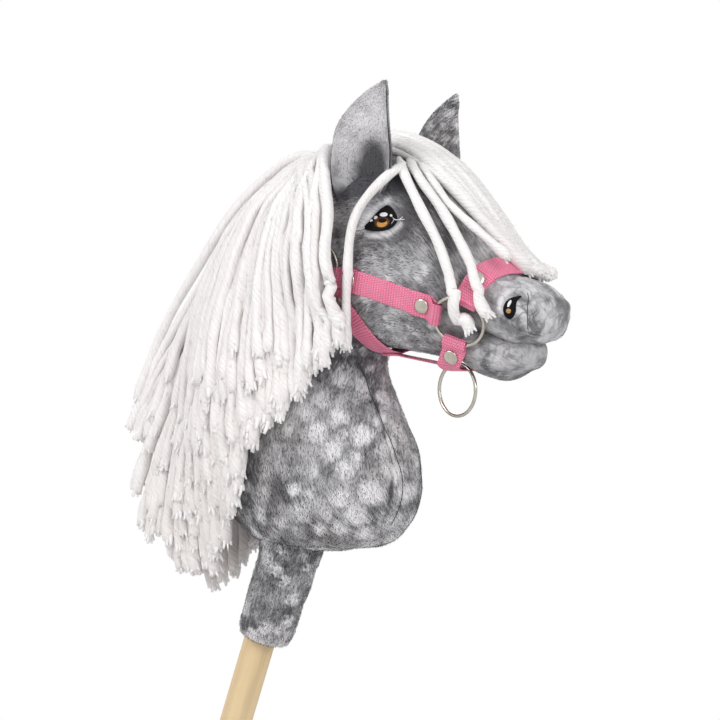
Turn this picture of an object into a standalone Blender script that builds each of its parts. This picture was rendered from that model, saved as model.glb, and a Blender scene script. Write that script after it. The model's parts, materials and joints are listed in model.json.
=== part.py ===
"""Hobby horse: a stuffed plush horse's head and neck with a yarn mane and a
webbing halter, on a turned wooden stick.

Metres, +Z up. The origin is the centre of the stick's foot face. The horse
looks along +X, its right side is at -Y, and the stick leans forward by
STICK_TILT. Each object is one separate piece of the toy.
"""

import math

import bmesh
import bpy
import numpy as np
from mathutils import Matrix, Vector
from mathutils.bvhtree import BVHTree

MM = 0.001

# Clearances between pieces
GAP = 0.3 * MM
SKIN_GAP = 0.9 * MM           # strap or patch over the plush
LAYER_GAP = 0.4 * MM          # between the two layers of a folded strap
SPLIT_GAP = 0.3 * MM          # neck to head
BORE_GAP = 0.3 * MM           # stick in its bore

# Stick
STICK_TILT = math.radians(20.0)
STICK_RADIUS = 14.0 * MM
STICK_LENGTH = 690.0 * MM
STICK_CHAMFER = 2.0 * MM
STICK_SHOWN = 460.0 * MM      # foot to the sleeve's hem
NECK_SEAT = 545.0 * MM        # foot to where the stick enters the neck
NECK_FORWARD = 5.0 * MM       # middle of the stuffed neck's underside before the stick

# Sleeve around the stick below the neck
SLEEVE_HEM_RADIUS = 24.0 * MM
SLEEVE_MID_RADIUS = 25.0 * MM
SLEEVE_TOP_RADIUS = 28.0 * MM
SLEEVE_FORWARD = 4.0 * MM     # its middle before the stick's
SLEEVE_INTO_NECK = 30.0 * MM
SLEEVE_HEM_ROUND = 3.0 * MM

# Stuffed neck and head: sections from the chest to the nose, in millimetres
# from the point where the stick enters the neck. Each row gives the upper or
# back point x, z, the lower or front point x, z, the half width, and how
# square the oval is (2 is a plain oval).
BODY_SECTIONS = (
    (-8, 0, 64, 0, 16, 2.0),
    (-36, 5, 95, 4, 33, 2.0),
    (-59, 23, 115, 19, 44, 2.1),
    (-76, 50, 127, 46, 49, 2.2),
    (-85, 85, 125, 79, 50, 2.2),
    (-88, 121, 112, 109, 49, 2.2),
    (-85, 158, 100, 133, 47, 2.2),
    (-77, 196, 94, 153, 45, 2.2),
    (-63, 232, 92, 166, 44, 2.2),
    (-41, 266, 98, 172, 45, 2.2),
    (-12, 296, 110, 171, 47, 2.2),
    (22, 320, 124, 169, 49, 2.2),
    (59, 335, 139, 167, 51, 2.3),
    (97, 338, 155, 165, 52, 2.3),
    (131, 326, 169, 165, 51, 2.3),
    (161, 304, 182, 169, 48, 2.3),
    (186, 277, 195, 176, 44, 2.2),
    (207, 250, 207, 182, 42, 2.3),
    (226, 231, 220, 177, 40, 2.5),
    (245, 222, 236, 172, 38, 2.6),
    (259, 211, 249, 175, 33, 2.6),
)
BODY_RINGS = 44
BODY_SIDES = 20
BODY_END_DOME = 5.0 * MM
SPLIT_THROAT = (96, 170)      # lower point of the neck and head's seam plane
SPLIT_POLL = (28, 326)        # upper point of it

# Lower lip and chin, same frame and same kind of row
LIP_SECTIONS = (
    (160, 182, 162, 168, 20, 2.0),
    (180, 187, 179, 160, 25, 2.1),
    (200, 188, 197, 149, 28, 2.3),
    (221, 186, 218, 144, 31, 2.3),
    (240, 178, 237, 152, 25, 2.2),
)
LIP_RINGS = 10
LIP_SIDES = 16
LIP_END_DOME = 4.0 * MM
LIP_GAP = 0.5 * MM            # lip to head

# Ears: rows from the root to the tip, in millimetres, of the right ear and
# mirrored for the left: middle x, y, z, half width, and half the angle of the
# arc that the cloth makes there. The root is cut by the head.
EAR_SECTIONS = (
    (94, 41, 288, 14, 62),
    (101, 44, 301, 22.5, 66),
    (107, 47, 315, 27, 64),
    (112, 52, 334, 27, 58),
    (114, 54, 348, 24.5, 52),
    (118, 55, 361, 19.5, 46),
    (124, 56, 373, 13, 40),
    (130, 57, 381, 7.5, 34),
    (133, 57, 385, 3.5, 28),
)
EAR_AXIS = (0.22, 0.08, 0.97)
EAR_TURN = math.radians(80.0)  # how far the mouth turns outwards from the front
EAR_SHELL = 3.5 * MM
EAR_LINING = 1.4 * MM
EAR_LINING_INSET = 3.0 * MM
EAR_LINING_END = 7.4          # ear section where the lining stops below the tip
EAR_ROWS = 10
EAR_COLUMNS = 9

# Halter
STRAP_WIDTH = 20.0 * MM
STRAP_THICKNESS = 1.5 * MM
STRAP_STEP = 7.0 * MM
RING_INNER_RADIUS = 20.0 * MM
RING_WIRE_RADIUS = 1.5 * MM
RING_STAND_OFF = 4.2 * MM     # wire's middle above the highest plush under it
RING_SEGMENTS = 36
WIRE_SEGMENTS = 8
RIVET_RADIUS = 6.2 * MM
RIVET_HEIGHT = 2.2 * MM
RIVET_SHANK_RADIUS = 2.0 * MM
RIVET_GAP = 0.7 * MM          # under its flat cap, as the strap is curved
RIVET_PAST_WIRE = 11.0 * MM   # its middle to the outside of the ring's wire
RIVET_FROM_RING = RING_INNER_RADIUS + 2 * RING_WIRE_RADIUS + RIVET_PAST_WIRE
RIVET_RIM = 0.5 * MM          # upright edge under its dome
RIVET_DOME_STEPS = 4
RIVET_SIDES = 12
TAIL_PAST_RIVET = 9.0 * MM    # folded-back end past the rivet
FOLD_STEPS = 5
MIDDLE_LIFT = SKIN_GAP + STRAP_THICKNESS + LAYER_GAP / 2  # plush to between the layers
GATHER_NONE = 0.577           # half a strap's width to its distance, just inside a ring
THROAT_GATHER = 0.33          # where two straps crowd on the throat ring
CHEEK_RING = (197, 195)       # ring middles in the side view
THROAT_RING = (65, 237)
NOSE_TOP = (224, 240)         # noseband's middle on the nose ridge
CHIN_LOW = (173, 153.5)       # the chin strap's lowest point, off the jaw
HANG_HANDLE_RING = 16.0 * MM  # how far it keeps its direction at the ring
HANG_HANDLE_LOW = 31.0 * MM   # and at its lowest point
THROAT_LOW = (106, 169)
THROAT_SLACK = 4.0 * MM
POLL_TOP = (62, 335)          # crown strap's middle on the poll
SIDE_REACH = 120.0 * MM       # from where a strap's rays start at the sides
CROWN_INSIDE = (64, 280)      # where the crown strap's rays meet, and how far out
CROWN_REACH = 120.0 * MM      # they start
LEAD_RING_TURN = math.radians(-14.0)
LEAD_RING_GAP = 0.5 * MM      # its wire to the chin strap's upper face
LEAD_RING_SIDE = -6.0 * MM    # beside the jaw strap
JAW_STRAP_SIDE = 8.0 * MM
JAW_STRAP_NARROW = 0.6        # its width is gathered to this share
JAW_TAB_REACH = 0.3           # half a sewn tab's length, to the width of the straps
JAW_STRAP_STEPS = 8

# Sewn patches
EYE_PLACE = (128, 275)
EYE_LENGTH = 31.0 * MM
EYE_HEIGHT = 20.0 * MM
EYE_SLANT = math.radians(-6.0)
NOSTRIL_PLACE = (240, 203)
NOSTRIL_LENGTH = 22.0 * MM
NOSTRIL_HEIGHT = 15.0 * MM
NOSTRIL_SLANT = math.radians(58.0)
PATCH_THICKNESS = 0.8 * MM
PATCH_RINGS = 3
PATCH_SIDES = 16

# Yarn mane and forelock
TAPE_WIDTH = 14.0 * MM
TAPE_THICKNESS = 1.5 * MM
TAPE_FIRST = 6.6              # body section where the mane's tape starts
TAPE_LAST = 11.4              # and where it ends, behind the ears
TAPE_ROWS = 16
MANE_ROOM = 1.6 * MM          # mane to the tape, the straps and the rings
LOCK_ROOT_ANGLE = 0.15        # round the neck from its back line, in radians
LOCK_RINGS = 7
LOCK_SIDES = 6
LOCK_ROOT_SHARE = 0.55        # lock's width at its root and tip, to its widest
LOCK_TIP_SHARE = 0.8
LOCK_NARROWS = 0.55           # share of its length where it starts to narrow
LOCK_END_DOME = 0.3
BAND_LENGTH = 4.0             # room cut for the crown strap, to half that strap's height
BAND_WIDTH = 1.5
HALF_SPACE = 1.2              # cube that cuts a mane half at the middle plane
# Mane locks of the right side, and mirrored for the left: the body section of
# the root, then middle x, y, z and tip x, y, z, half width, half thickness.
MANE_LOCKS = (
    (11.3, 66, 62, 256, 88, 63, 180, 13, 9),
    (10.9, 46, 62, 252, 66, 61, 168, 16, 9),
    (10.3, 23, 60, 243, 44, 58, 144, 19, 9),
    (9.6, -10, 56, 220, 16, 58, 112, 21, 10),
    (8.9, -48, 46, 182, -20, 52, 72, 23, 13),
    (8.1, -82, 34, 140, -46, 36, 6, 24, 15),
    (7.4, -108, 24, 105, -82, 20, -38, 23, 15),
    (8.4, -118, 22, 136, -108, 20, -8, 22, 16),
    (9.2, -108, 24, 168, -143, 20, 40, 21, 16),
    (10.0, -64, 26, 222, -144, 20, 106, 20, 16),
    (10.7, -20, 26, 274, -100, 26, 184, 18, 14),
)
FORELOCK_LIFT = 0.7 * MM      # over the plush, at the root
FORELOCK_STRAP_LIFT = 4.2 * MM  # where it falls over the noseband
# Forelock: body section, angle to its near edge and to its far edge, thickness
FORELOCK_ROWS = (
    (12.5, 9, -9, 5), (13.2, 10, -20, 15), (14.2, 11, -40, 22), (15.2, 10, -52, 23),
    (16.2, 8, -55, 20), (17.2, 4, -50, 15), (18.2, -4, -42, 10), (19.0, -12, -30, 5),
)
FORELOCK_LENGTH_STEPS = 16
FORELOCK_WIDTH_STEPS = 7
# Loose strands: x, y, z on the plush and the lift of the strand over it
STRAND_RADIUS = 4.0 * MM
STRAND_STEPS = 14
STRANDS = (
    ((94, -50, 274, 4.9), (95, -50, 252, 7.0), (97, -48, 230, 14.0), (98, -46, 205, 13.0),
     (92, -43, 178, 11.0)),
    ((138, -27, 306, 4.9), (153, -34, 290, 4.9), (168, -40, 270, 4.9), (180, -42, 251, 5.5),
     (190, -42, 227, 14.0), (196, -38, 208, 18.5), (198, -36, 194, 18.0)),
    ((149, -18, 305, 4.9), (172, -26, 281, 4.9), (194, -31, 253, 6.0), (208, -36, 231, 14.0),
     (217, -37, 211, 16.5), (224, -35, 200, 13.0)),
)

COLORS = {
    "wood": (0.66, 0.50, 0.31, 1.0),
    "plush": (0.42, 0.43, 0.47, 1.0),
    "lining": (0.60, 0.60, 0.64, 1.0),
    "yarn": (0.86, 0.84, 0.84, 1.0),
    "tape": (0.80, 0.78, 0.76, 1.0),
    "webbing": (0.86, 0.22, 0.42, 1.0),
    "nickel": (0.62, 0.60, 0.56, 1.0),
    "thread": (0.03, 0.03, 0.03, 1.0),
}


def clear_scene():
    for item in list(bpy.data.objects):
        bpy.data.objects.remove(item, do_unlink=True)


def collection(name):
    made = bpy.data.collections.new(name)
    bpy.context.scene.collection.children.link(made)
    return made


def material(name, color, roughness, metallic=0.0):
    made = bpy.data.materials.new(name)
    made.use_nodes = True
    shader = made.node_tree.nodes["Principled BSDF"]
    shader.inputs["Base Color"].default_value = color
    shader.inputs["Roughness"].default_value = roughness
    shader.inputs["Metallic"].default_value = metallic
    made.diffuse_color = color
    return made


def finish(item, look, target, smooth=True):
    """Give the object its own material and put it in its collection."""
    roughness, metallic = {"nickel": (0.28, 1.0), "wood": (0.55, 0.0)}.get(look, (0.9, 0.0))
    item.data.materials.clear()
    item.data.materials.append(material(item.name, COLORS[look], roughness, metallic))
    for owner in list(item.users_collection):
        owner.objects.unlink(item)
    target.objects.link(item)
    if smooth:
        item.data.shade_smooth()
        item.data.set_sharp_from_angle(angle=math.radians(40.0))
    return item


def mesh_object(name, points, faces, fix_normals=False):
    mesh = bpy.data.meshes.new(name)
    mesh.from_pydata([tuple(map(float, p)) for p in points], [], faces)
    if fix_normals:
        work = bmesh.new()
        work.from_mesh(mesh)
        bmesh.ops.recalc_face_normals(work, faces=work.faces)
        work.to_mesh(mesh)
        work.free()
    mesh.validate()
    return bpy.data.objects.new(name, mesh)


def settle(item):
    """Replace the object's mesh by its evaluated one and drop its modifiers."""
    if item.name not in bpy.context.scene.collection.all_objects:
        bpy.context.scene.collection.objects.link(item)
    bpy.context.view_layer.update()
    graph = bpy.context.evaluated_depsgraph_get()
    mesh = bpy.data.meshes.new_from_object(item.evaluated_get(graph))
    item.modifiers.clear()
    item.data = mesh
    return item


def combine(item, other, operation):
    """Apply one Boolean of the object with another that is then removed."""
    if other.name not in bpy.context.scene.collection.all_objects:
        bpy.context.scene.collection.objects.link(other)
    step = item.modifiers.new(operation.lower(), "BOOLEAN")
    step.operation = operation
    step.solver = "EXACT"
    step.object = other
    settle(item)
    bpy.data.objects.remove(other, do_unlink=True)
    return item


def cut_with(item, cutter, store):
    """Keep a live difference with a cutter stored out of sight."""
    if cutter.name not in store.objects:
        for owner in list(cutter.users_collection):
            owner.objects.unlink(cutter)
        store.objects.link(cutter)
        cutter.hide_render = True
        cutter.display_type = "WIRE"
    step = item.modifiers.new("cut", "BOOLEAN")
    step.operation = "DIFFERENCE"
    step.solver = "EXACT"
    step.object = cutter


def body_frame():
    """Zero of the side view: just before the stick, where it enters the neck."""
    seat = np.array([math.sin(STICK_TILT), 0.0, math.cos(STICK_TILT)]) * NECK_SEAT
    return seat + np.array([NECK_FORWARD, 0.0, 0.0])


def place(side_point, y=0.0):
    """World point of a side-view point given in millimetres."""
    origin = body_frame()
    return np.array([origin[0] + side_point[0] * MM, y, origin[2] + side_point[1] * MM])


def read_rows(rows, spots):
    """Rows read at fractional indices from a smooth curve through them."""
    rows = np.asarray(rows, dtype=float)
    padded = np.vstack([2 * rows[0] - rows[1], rows, 2 * rows[-1] - rows[-2]])
    spots = np.clip(np.asarray(spots, dtype=float), 0.0, len(rows) - 1.0)
    low = np.minimum(spots.astype(int), len(rows) - 2)
    t = (spots - low)[:, None]
    a, b, c, d = padded[low], padded[low + 1], padded[low + 2], padded[low + 3]
    return 0.5 * (2 * b + (c - a) * t + (2 * a - 5 * b + 4 * c - d) * t**2
                  + (3 * b - 3 * c + d - a) * t**3)


def section_points(row, angles, lift=0.0):
    """Oval section through its upper and lower point. Angle 0 is the upper
    or back point, and a quarter turn is the right side of the horse."""
    upper, lower = place(row[0:2]), place(row[2:4])
    middle = (upper + lower) / 2
    half = (upper - lower) / 2
    depth = np.linalg.norm(half)
    up = half / depth
    power = 2.0 / row[5]
    c, s = np.cos(angles), np.sin(angles)
    along = np.sign(c) * np.abs(c) ** power * (depth + lift)
    across = np.sign(s) * np.abs(s) ** power * (row[4] * MM + lift)
    return middle + along[:, None] * up - across[:, None] * np.array([0.0, 1.0, 0.0])


def loft(name, rows, rings, sides, dome, lift=0.0):
    """Closed loft through smooth sections with a shallow dome at each end."""
    spots = np.linspace(0.0, len(rows) - 1.0, rings)
    smooth = read_rows(rows, spots)
    angles = np.linspace(0.0, 2 * math.pi, sides, endpoint=False)
    loops = [section_points(row, angles, lift) for row in smooth]
    points = np.vstack(loops)
    ends = []
    for here, inner in ((0, 1), (rings - 1, rings - 2)):
        outward = loops[here].mean(axis=0) - loops[inner].mean(axis=0)
        outward = outward / np.linalg.norm(outward)
        ends.append(loops[here].mean(axis=0) + outward * (dome + lift))
    points = np.vstack([points, ends])
    faces = []
    for ring in range(rings - 1):
        for side in range(sides):
            following = (side + 1) % sides
            base, above = ring * sides, (ring + 1) * sides
            faces.append((base + side, base + following, above + following, above + side))
    last = (rings - 1) * sides
    for side in range(sides):
        following = (side + 1) % sides
        faces.append((following, side, rings * sides))
        faces.append((last + side, last + following, rings * sides + 1))
    return mesh_object(name, points, faces, fix_normals=True)


def body_loft(name, lift=0.0):
    return loft(name, BODY_SECTIONS, BODY_RINGS, BODY_SIDES, BODY_END_DOME, lift)


def lip_loft(name, lift=0.0):
    return loft(name, LIP_SECTIONS, LIP_RINGS, LIP_SIDES, LIP_END_DOME, lift)


def slice_off(item, keep_head):
    """Cut the joined loft at the seam plane and close the cut."""
    low, high = place(SPLIT_THROAT), place(SPLIT_POLL)
    rise = (high - low) / np.linalg.norm(high - low)
    normal = np.array([rise[2], 0.0, -rise[0]])
    side = 1.0 if keep_head else -1.0
    point = low + normal * side * SPLIT_GAP / 2
    work = bmesh.new()
    work.from_mesh(item.data)
    bmesh.ops.bisect_plane(work, geom=work.verts[:] + work.edges[:] + work.faces[:],
                           plane_co=point, plane_no=normal, dist=0.00001,
                           clear_inner=keep_head, clear_outer=not keep_head)
    rim = [edge for edge in work.edges if edge.is_boundary]
    bmesh.ops.holes_fill(work, edges=rim)
    bmesh.ops.recalc_face_normals(work, faces=work.faces)
    work.to_mesh(item.data)
    work.free()
    return item


def cylinder(name, radius, start, end, vertices=32):
    """Cylinder between two distances along the stick's axis."""
    bpy.ops.mesh.primitive_cylinder_add(vertices=vertices, radius=radius, depth=end - start)
    item = bpy.context.active_object
    item.name = item.data.name = name
    item.rotation_euler = (0.0, STICK_TILT, 0.0)
    middle = (start + end) / 2
    item.location = (math.sin(STICK_TILT) * middle, 0.0, math.cos(STICK_TILT) * middle)
    return item


def turned(name, profile, steps):
    """Profile at +X, top to bottom on its outer side, turned about Z."""
    edges = [(i, i + 1) for i in range(len(profile) - 1)]
    mesh = bpy.data.meshes.new(name)
    mesh.from_pydata([(r, 0.0, z) for r, z in profile], edges, [])
    item = bpy.data.objects.new(name, mesh)
    screw = item.modifiers.new("turn", "SCREW")
    screw.steps = screw.render_steps = steps
    screw.use_merge_vertices = True
    screw.merge_threshold = 0.00001
    return item


def make_stick(parts):
    stick = cylinder("stick", STICK_RADIUS, 0.0, STICK_LENGTH)
    bevel = stick.modifiers.new("chamfer", "BEVEL")
    bevel.width = STICK_CHAMFER
    bevel.segments = 2
    bevel.limit_method = "ANGLE"
    return finish(stick, "wood", parts)


def make_sleeve(parts, cutters):
    """Padded cloth tube round the stick, tucked against the neck and bored
    for the stick a little behind its own middle."""
    top = NECK_SEAT + SLEEVE_INTO_NECK - STICK_SHOWN
    profile = [
        (0.0, top), (SLEEVE_TOP_RADIUS, top), (SLEEVE_TOP_RADIUS, top * 0.82),
        (SLEEVE_MID_RADIUS, top * 0.45), (SLEEVE_HEM_RADIUS, SLEEVE_HEM_ROUND),
        (SLEEVE_HEM_RADIUS - SLEEVE_HEM_ROUND / 3, SLEEVE_HEM_ROUND / 3),
        (SLEEVE_HEM_RADIUS - SLEEVE_HEM_ROUND, 0.0), (0.0, 0.0),
    ]
    sleeve = turned("stick_sleeve", profile, 28)
    sleeve.rotation_euler = (0.0, STICK_TILT, 0.0)
    sleeve.location = (math.sin(STICK_TILT) * STICK_SHOWN + math.cos(STICK_TILT) * SLEEVE_FORWARD,
                       0.0,
                       math.cos(STICK_TILT) * STICK_SHOWN - math.sin(STICK_TILT) * SLEEVE_FORWARD)
    bore = cylinder("cut_sleeve_bore", STICK_RADIUS + BORE_GAP, STICK_SHOWN - SLEEVE_INTO_NECK,
                    STICK_LENGTH)
    cut_with(sleeve, bore, cutters)
    cut_with(sleeve, body_loft("cut_sleeve_by_neck", GAP), cutters)
    return finish(sleeve, "plush", parts)


def make_body(parts, cutters):
    neck = finish(slice_off(body_loft("neck_body"), keep_head=False), "plush", parts)
    bore = cylinder("cut_stick_bore", STICK_RADIUS + BORE_GAP, STICK_SHOWN, STICK_LENGTH + BORE_GAP)
    cut_with(neck, bore, cutters)
    head = finish(slice_off(body_loft("head_body"), keep_head=True), "plush", parts)
    lip = finish(lip_loft("lower_lip"), "plush", parts)
    cut_with(lip, body_loft("cut_lip_by_head", LIP_GAP), cutters)
    return neck, head, lip


def skin_tree():
    """Search tree over the outer surface of the neck, head and lower lip."""
    points, faces = [], []
    for item in (body_loft("skin_guide"), lip_loft("lip_guide")):
        start = len(points)
        points += [v.co.copy() for v in item.data.vertices]
        faces += [[start + i for i in p.vertices] for p in item.data.polygons]
        bpy.data.objects.remove(item, do_unlink=True)
    return BVHTree.FromPolygons(points, faces)


def hit_skin(tree, outside, direction):
    found = tree.ray_cast(Vector(outside), Vector(direction))[0]
    if found is None:
        raise RuntimeError("a ray misses the plush")
    return np.array(found)


def side_hit(tree, x, z, side):
    """Point of the plush's right (-1) or left (1) side at x, z."""
    return hit_skin(tree, (x, side * 0.3, z), (0.0, -side, 0.0))


class Ring:
    """A ring that lies on the plush, its plane and its middle."""

    def __init__(self, tree, place_mm, side):
        spot = place(place_mm)
        reach = RING_INNER_RADIUS * 0.8
        corners = [side_hit(tree, spot[0] + dx, spot[2] + dz, side)
                   for dx, dz in ((-reach, -reach), (reach, -reach), (reach, reach), (-reach, reach))]
        normal = np.cross(corners[2] - corners[0], corners[3] - corners[1])
        normal = normal / np.linalg.norm(normal)
        self.normal = normal if normal[1] * side > 0 else -normal
        self.middle = side_hit(tree, spot[0], spot[2], side)
        wire = RING_INNER_RADIUS + RING_WIRE_RADIUS
        heights = []
        for angle in np.linspace(0.0, 2 * math.pi, RING_SEGMENTS, endpoint=False):
            start = np.array(align(self.normal, self.middle)
                             @ Vector((wire * math.cos(angle), wire * math.sin(angle), 0.03)))
            skin = hit_skin(tree, start, -self.normal)
            heights.append(np.dot(skin - self.middle, self.normal))
        self.middle = self.middle + self.normal * (max(heights) + RING_STAND_OFF)


class Route:
    """A strap's line over the plush: points read by the distance along it.
    `rays` gives a start outside and a direction for each share of the way, and
    `across` is the strap's width direction. Between its folded ends a strap
    with `slack` hangs level, that far off the plush half way."""

    def __init__(self, tree, rays, across, slack=0.0):
        self.tree = tree
        self.across = across
        self.rays = rays
        self.slack = slack
        fine = np.linspace(0.0, 1.0, 121)
        line = np.array([self.hit(t, 0.0) for t in fine])
        steps = np.linalg.norm(np.diff(line, axis=0), axis=1)
        self.lengths = np.concatenate([[0.0], np.cumsum(steps)])
        self.fine = fine
        self.length = self.lengths[-1]
        reach = STRAP_WIDTH / 2
        widths = np.array([self.hit(t, reach) - self.hit(t, -reach) for t in fine])
        normals = np.cross(np.gradient(line, axis=0), widths)
        normals = normals / np.linalg.norm(normals, axis=1)[:, None]
        if np.dot(normals[0], self.rays(0.0)[1]) > 0:
            normals = -normals
        padded = np.vstack([normals[:1]] * 4 + [normals] + [normals[-1:]] * 4)
        self.normals = np.array([padded[i:i + 9].mean(axis=0) for i in range(len(fine))])

    def hit(self, t, offset):
        """Skin point beside the line. Where the plush slopes across the strap,
        the offset is drawn in so that the strap keeps its width."""
        outside, direction = self.rays(t)
        if offset:
            ends = [hit_skin(self.tree, outside + self.across * side * STRAP_WIDTH / 2, direction)
                    for side in (-1, 1)]
            offset = offset * STRAP_WIDTH / np.linalg.norm(ends[1] - ends[0])
        return hit_skin(self.tree, outside + self.across * offset, direction)

    def point(self, distance, offset, lift):
        t = np.interp(distance, self.lengths, self.fine)
        point = self.hit(t, offset)
        outward = np.array([np.interp(distance, self.lengths, self.normals[:, i])
                            for i in range(3)])
        if self.slack:
            folded = RIVET_FROM_RING + TAIL_PAST_RIVET
            share = (min(distance, self.length - distance) - folded) / (self.length / 2 - folded)
            share = min(1.0, max(0.0, share))
            share = share**2 * (3 - 2 * share)
            level = self.hit(t, 0.0) + np.array([offset, 0.0, 0.0])
            point = point * (1 - share) + level * share
            outward = outward * (1 - share) + np.array([0.0, 0.0, -share])
            lift = lift + self.slack * share
        return point + outward / np.linalg.norm(outward) * lift


def side_route(tree, start_mm, end_mm, side):
    """Straight in the side view, from one ring's middle to another's."""
    start, end = place(start_mm), place(end_mm)
    run = (end - start) / np.linalg.norm(end - start)
    across = np.array([-run[2], 0.0, run[0]])

    def rays(t):
        spot = start + (end - start) * t
        return np.array([spot[0], side * 0.3, spot[2]]), np.array([0.0, -side, 0.0])

    return Route(tree, rays, across)


def round_route(tree, start_mm, middle_mm, inside_mm, reach_out, slack):
    """From a ring on the right side, past a point on the middle plane, to the
    left side, in the plane that holds Y and both points. Its rays run to the
    pivot, the point of that plane nearest `inside_mm`, and start `reach_out`
    from it at the middle plane, so that they miss the chest."""
    start, middle = place(start_mm), place(middle_mm)
    reach = (middle - start) / np.linalg.norm(middle - start)
    pivot = start + reach * np.dot(place(inside_mm) - start, reach)
    offset = np.dot(start - pivot, reach)
    half = math.pi / 2 - math.atan2(offset, side_hit(tree, start[0], start[2], 1.0)[1])

    def rays(t):
        angle = half * (2 * t - 1)
        outward = np.array([0.0, math.sin(angle), 0.0]) + reach * math.cos(angle)
        far = reach_out + (SIDE_REACH - reach_out) * math.sin(angle) ** 2
        return pivot + outward * far, -outward

    return Route(tree, rays, np.cross(reach, np.array([0.0, 1.0, 0.0])), slack)


class Hanging:
    """Line of a slack strap that leaves a ring on the right side in the ring's
    plane, hangs level at a low point on the middle plane, and rises to the
    left ring: a straight run past the wire and a cubic curve, mirrored."""

    def __init__(self, ring, low_mm):
        low = place(low_mm)
        past = RING_INNER_RADIUS + 2 * RING_WIRE_RADIUS
        start = ring.middle - ring.normal * MIDDLE_LIFT
        aim = low - start
        aim = aim - ring.normal * np.dot(aim, ring.normal)
        aim = aim / np.linalg.norm(aim)
        self.across = np.array([1.0, 0.0, 0.0])
        side = np.cross(ring.normal, aim)
        side = side if side[0] > 0 else -side
        near = start + aim * past
        handles = [near, near + aim * HANG_HANDLE_RING,
                   low - np.array([0.0, HANG_HANDLE_LOW, 0.0]), low]
        line = [start, start + aim * past / 2]
        sides = [side, side]
        for t in np.linspace(0.0, 1.0, 21):
            weights = ((1 - t) ** 3, 3 * t * (1 - t) ** 2, 3 * t**2 * (1 - t), t**3)
            line.append(sum(w * h for w, h in zip(weights, handles)))
            sides.append(side * (1 - t) + self.across * t)
        flip = np.array([1.0, -1.0, 1.0])
        self.line = np.array(line + [point * flip for point in line[-2::-1]])
        self.sides = np.array(sides + [vector * flip for vector in sides[-2::-1]])
        steps = np.linalg.norm(np.diff(self.line, axis=0), axis=1)
        self.lengths = np.concatenate([[0.0], np.cumsum(steps)])
        self.length = self.lengths[-1]
        tangents = np.gradient(self.line, self.lengths, axis=0)
        self.normals = np.cross(self.sides, tangents)
        if np.dot(self.normals[0], ring.normal) < 0:
            self.normals = -self.normals

    def point(self, distance, offset, lift):
        middle, side, normal = [
            np.array([np.interp(distance, self.lengths, values[:, i]) for i in range(3)])
            for values in (self.line, self.sides, self.normals)]
        return (middle + side / np.linalg.norm(side) * offset
                + normal / np.linalg.norm(normal) * lift)


OFFSETS = (-0.5, 0.0, 0.5)


def loop_rows(ring, route, backwards, gather):
    """Rows of strap points from the strap's free run to the folded-back tail
    inside it: over the ring's wire, round it and back under it. At the ring
    the strap's half width is at most `gather` of the distance to its middle."""
    wire = RING_INNER_RADIUS + RING_WIRE_RADIUS
    fold_radius = RING_WIRE_RADIUS + GAP + STRAP_THICKNESS / 2
    inner_edge = RING_INNER_RADIUS * math.cos(math.atan(min(gather, GATHER_NONE)))
    fold_middle = inner_edge - GAP + fold_radius - STRAP_THICKNESS / 2
    past_wire = wire + RING_WIRE_RADIUS + STRAP_THICKNESS
    tail_end = RIVET_FROM_RING + TAIL_PAST_RIVET

    def between(distance, offset):
        real = route.length - distance if backwards else distance
        return route.point(real, offset, MIDDLE_LIFT)

    aim = between(past_wire * 1.4, 0.0) - ring.middle
    aim = aim - ring.normal * np.dot(aim, ring.normal)
    aim = aim / np.linalg.norm(aim)
    side = np.cross(ring.normal, aim)
    if np.dot(side, route.across) < 0:
        side = -side

    middles, halves, apart = [], [], []
    for distance in (fold_middle + 1.5 * MM, wire + RING_WIRE_RADIUS):
        middles.append(ring.middle + aim * distance)
        halves.append(side * min(STRAP_WIDTH / 2, distance * gather))
        apart.append(fold_radius)
    for distance in np.linspace(past_wire + 3.5 * MM, tail_end, 4):
        middles.append(between(distance, 0.0))
        halves.append((between(distance, STRAP_WIDTH / 2) - between(distance, -STRAP_WIDTH / 2)) / 2)
        apart.append((STRAP_THICKNESS + LAYER_GAP) / 2)
    runs = np.gradient(np.array(middles), axis=0)
    outer, inner = [], []
    for middle, half, gap, run in zip(middles, halves, apart, runs):
        normal = np.cross(run, half)
        normal = normal / np.linalg.norm(normal)
        if np.dot(normal, ring.normal) < 0:
            normal = -normal
        if gap == fold_radius:
            normal = ring.normal
        outer.append([middle + half * 2 * o + normal * gap for o in OFFSETS])
        inner.append([middle + half * 2 * o - normal * gap for o in OFFSETS])
    fold = []
    for step in range(FOLD_STEPS):
        turn = math.pi * step / (FOLD_STEPS - 1)
        distance = fold_middle - math.sin(turn) * fold_radius
        half = min(STRAP_WIDTH / 2, distance * gather)
        fold.append([ring.middle + aim * distance + side * half * 2 * o
                     + ring.normal * math.cos(turn) * fold_radius for o in OFFSETS])
    return outer[::-1] + fold + inner


def sheet_object(name, rows, thickness, outward):
    """Open sheet from rows of points, thickened equally to both sides."""
    rows = np.array(rows)
    count, width = rows.shape[:2]
    faces = [(r * width + c, r * width + c + 1, (r + 1) * width + c + 1, (r + 1) * width + c)
             for r in range(count - 1) for c in range(width - 1)]
    middle = count // 2
    edge_a = rows[middle, -1] - rows[middle, 0]
    edge_b = rows[middle + 1, 0] - rows[middle, 0]
    if np.dot(np.cross(edge_a, edge_b), outward) < 0:
        faces = [tuple(reversed(face)) for face in faces]
    item = mesh_object(name, rows.reshape(-1, 3), faces)
    solid = item.modifiers.new("wall", "SOLIDIFY")
    solid.thickness = thickness
    solid.offset = 0.0
    solid.use_even_offset = True
    return item


def align(normal, middle):
    """World matrix with local Z along the normal at the given middle."""
    turn = Vector((0.0, 0.0, 1.0)).rotation_difference(Vector(normal)).to_matrix().to_4x4()
    return Matrix.Translation(Vector(middle)) @ turn


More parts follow.
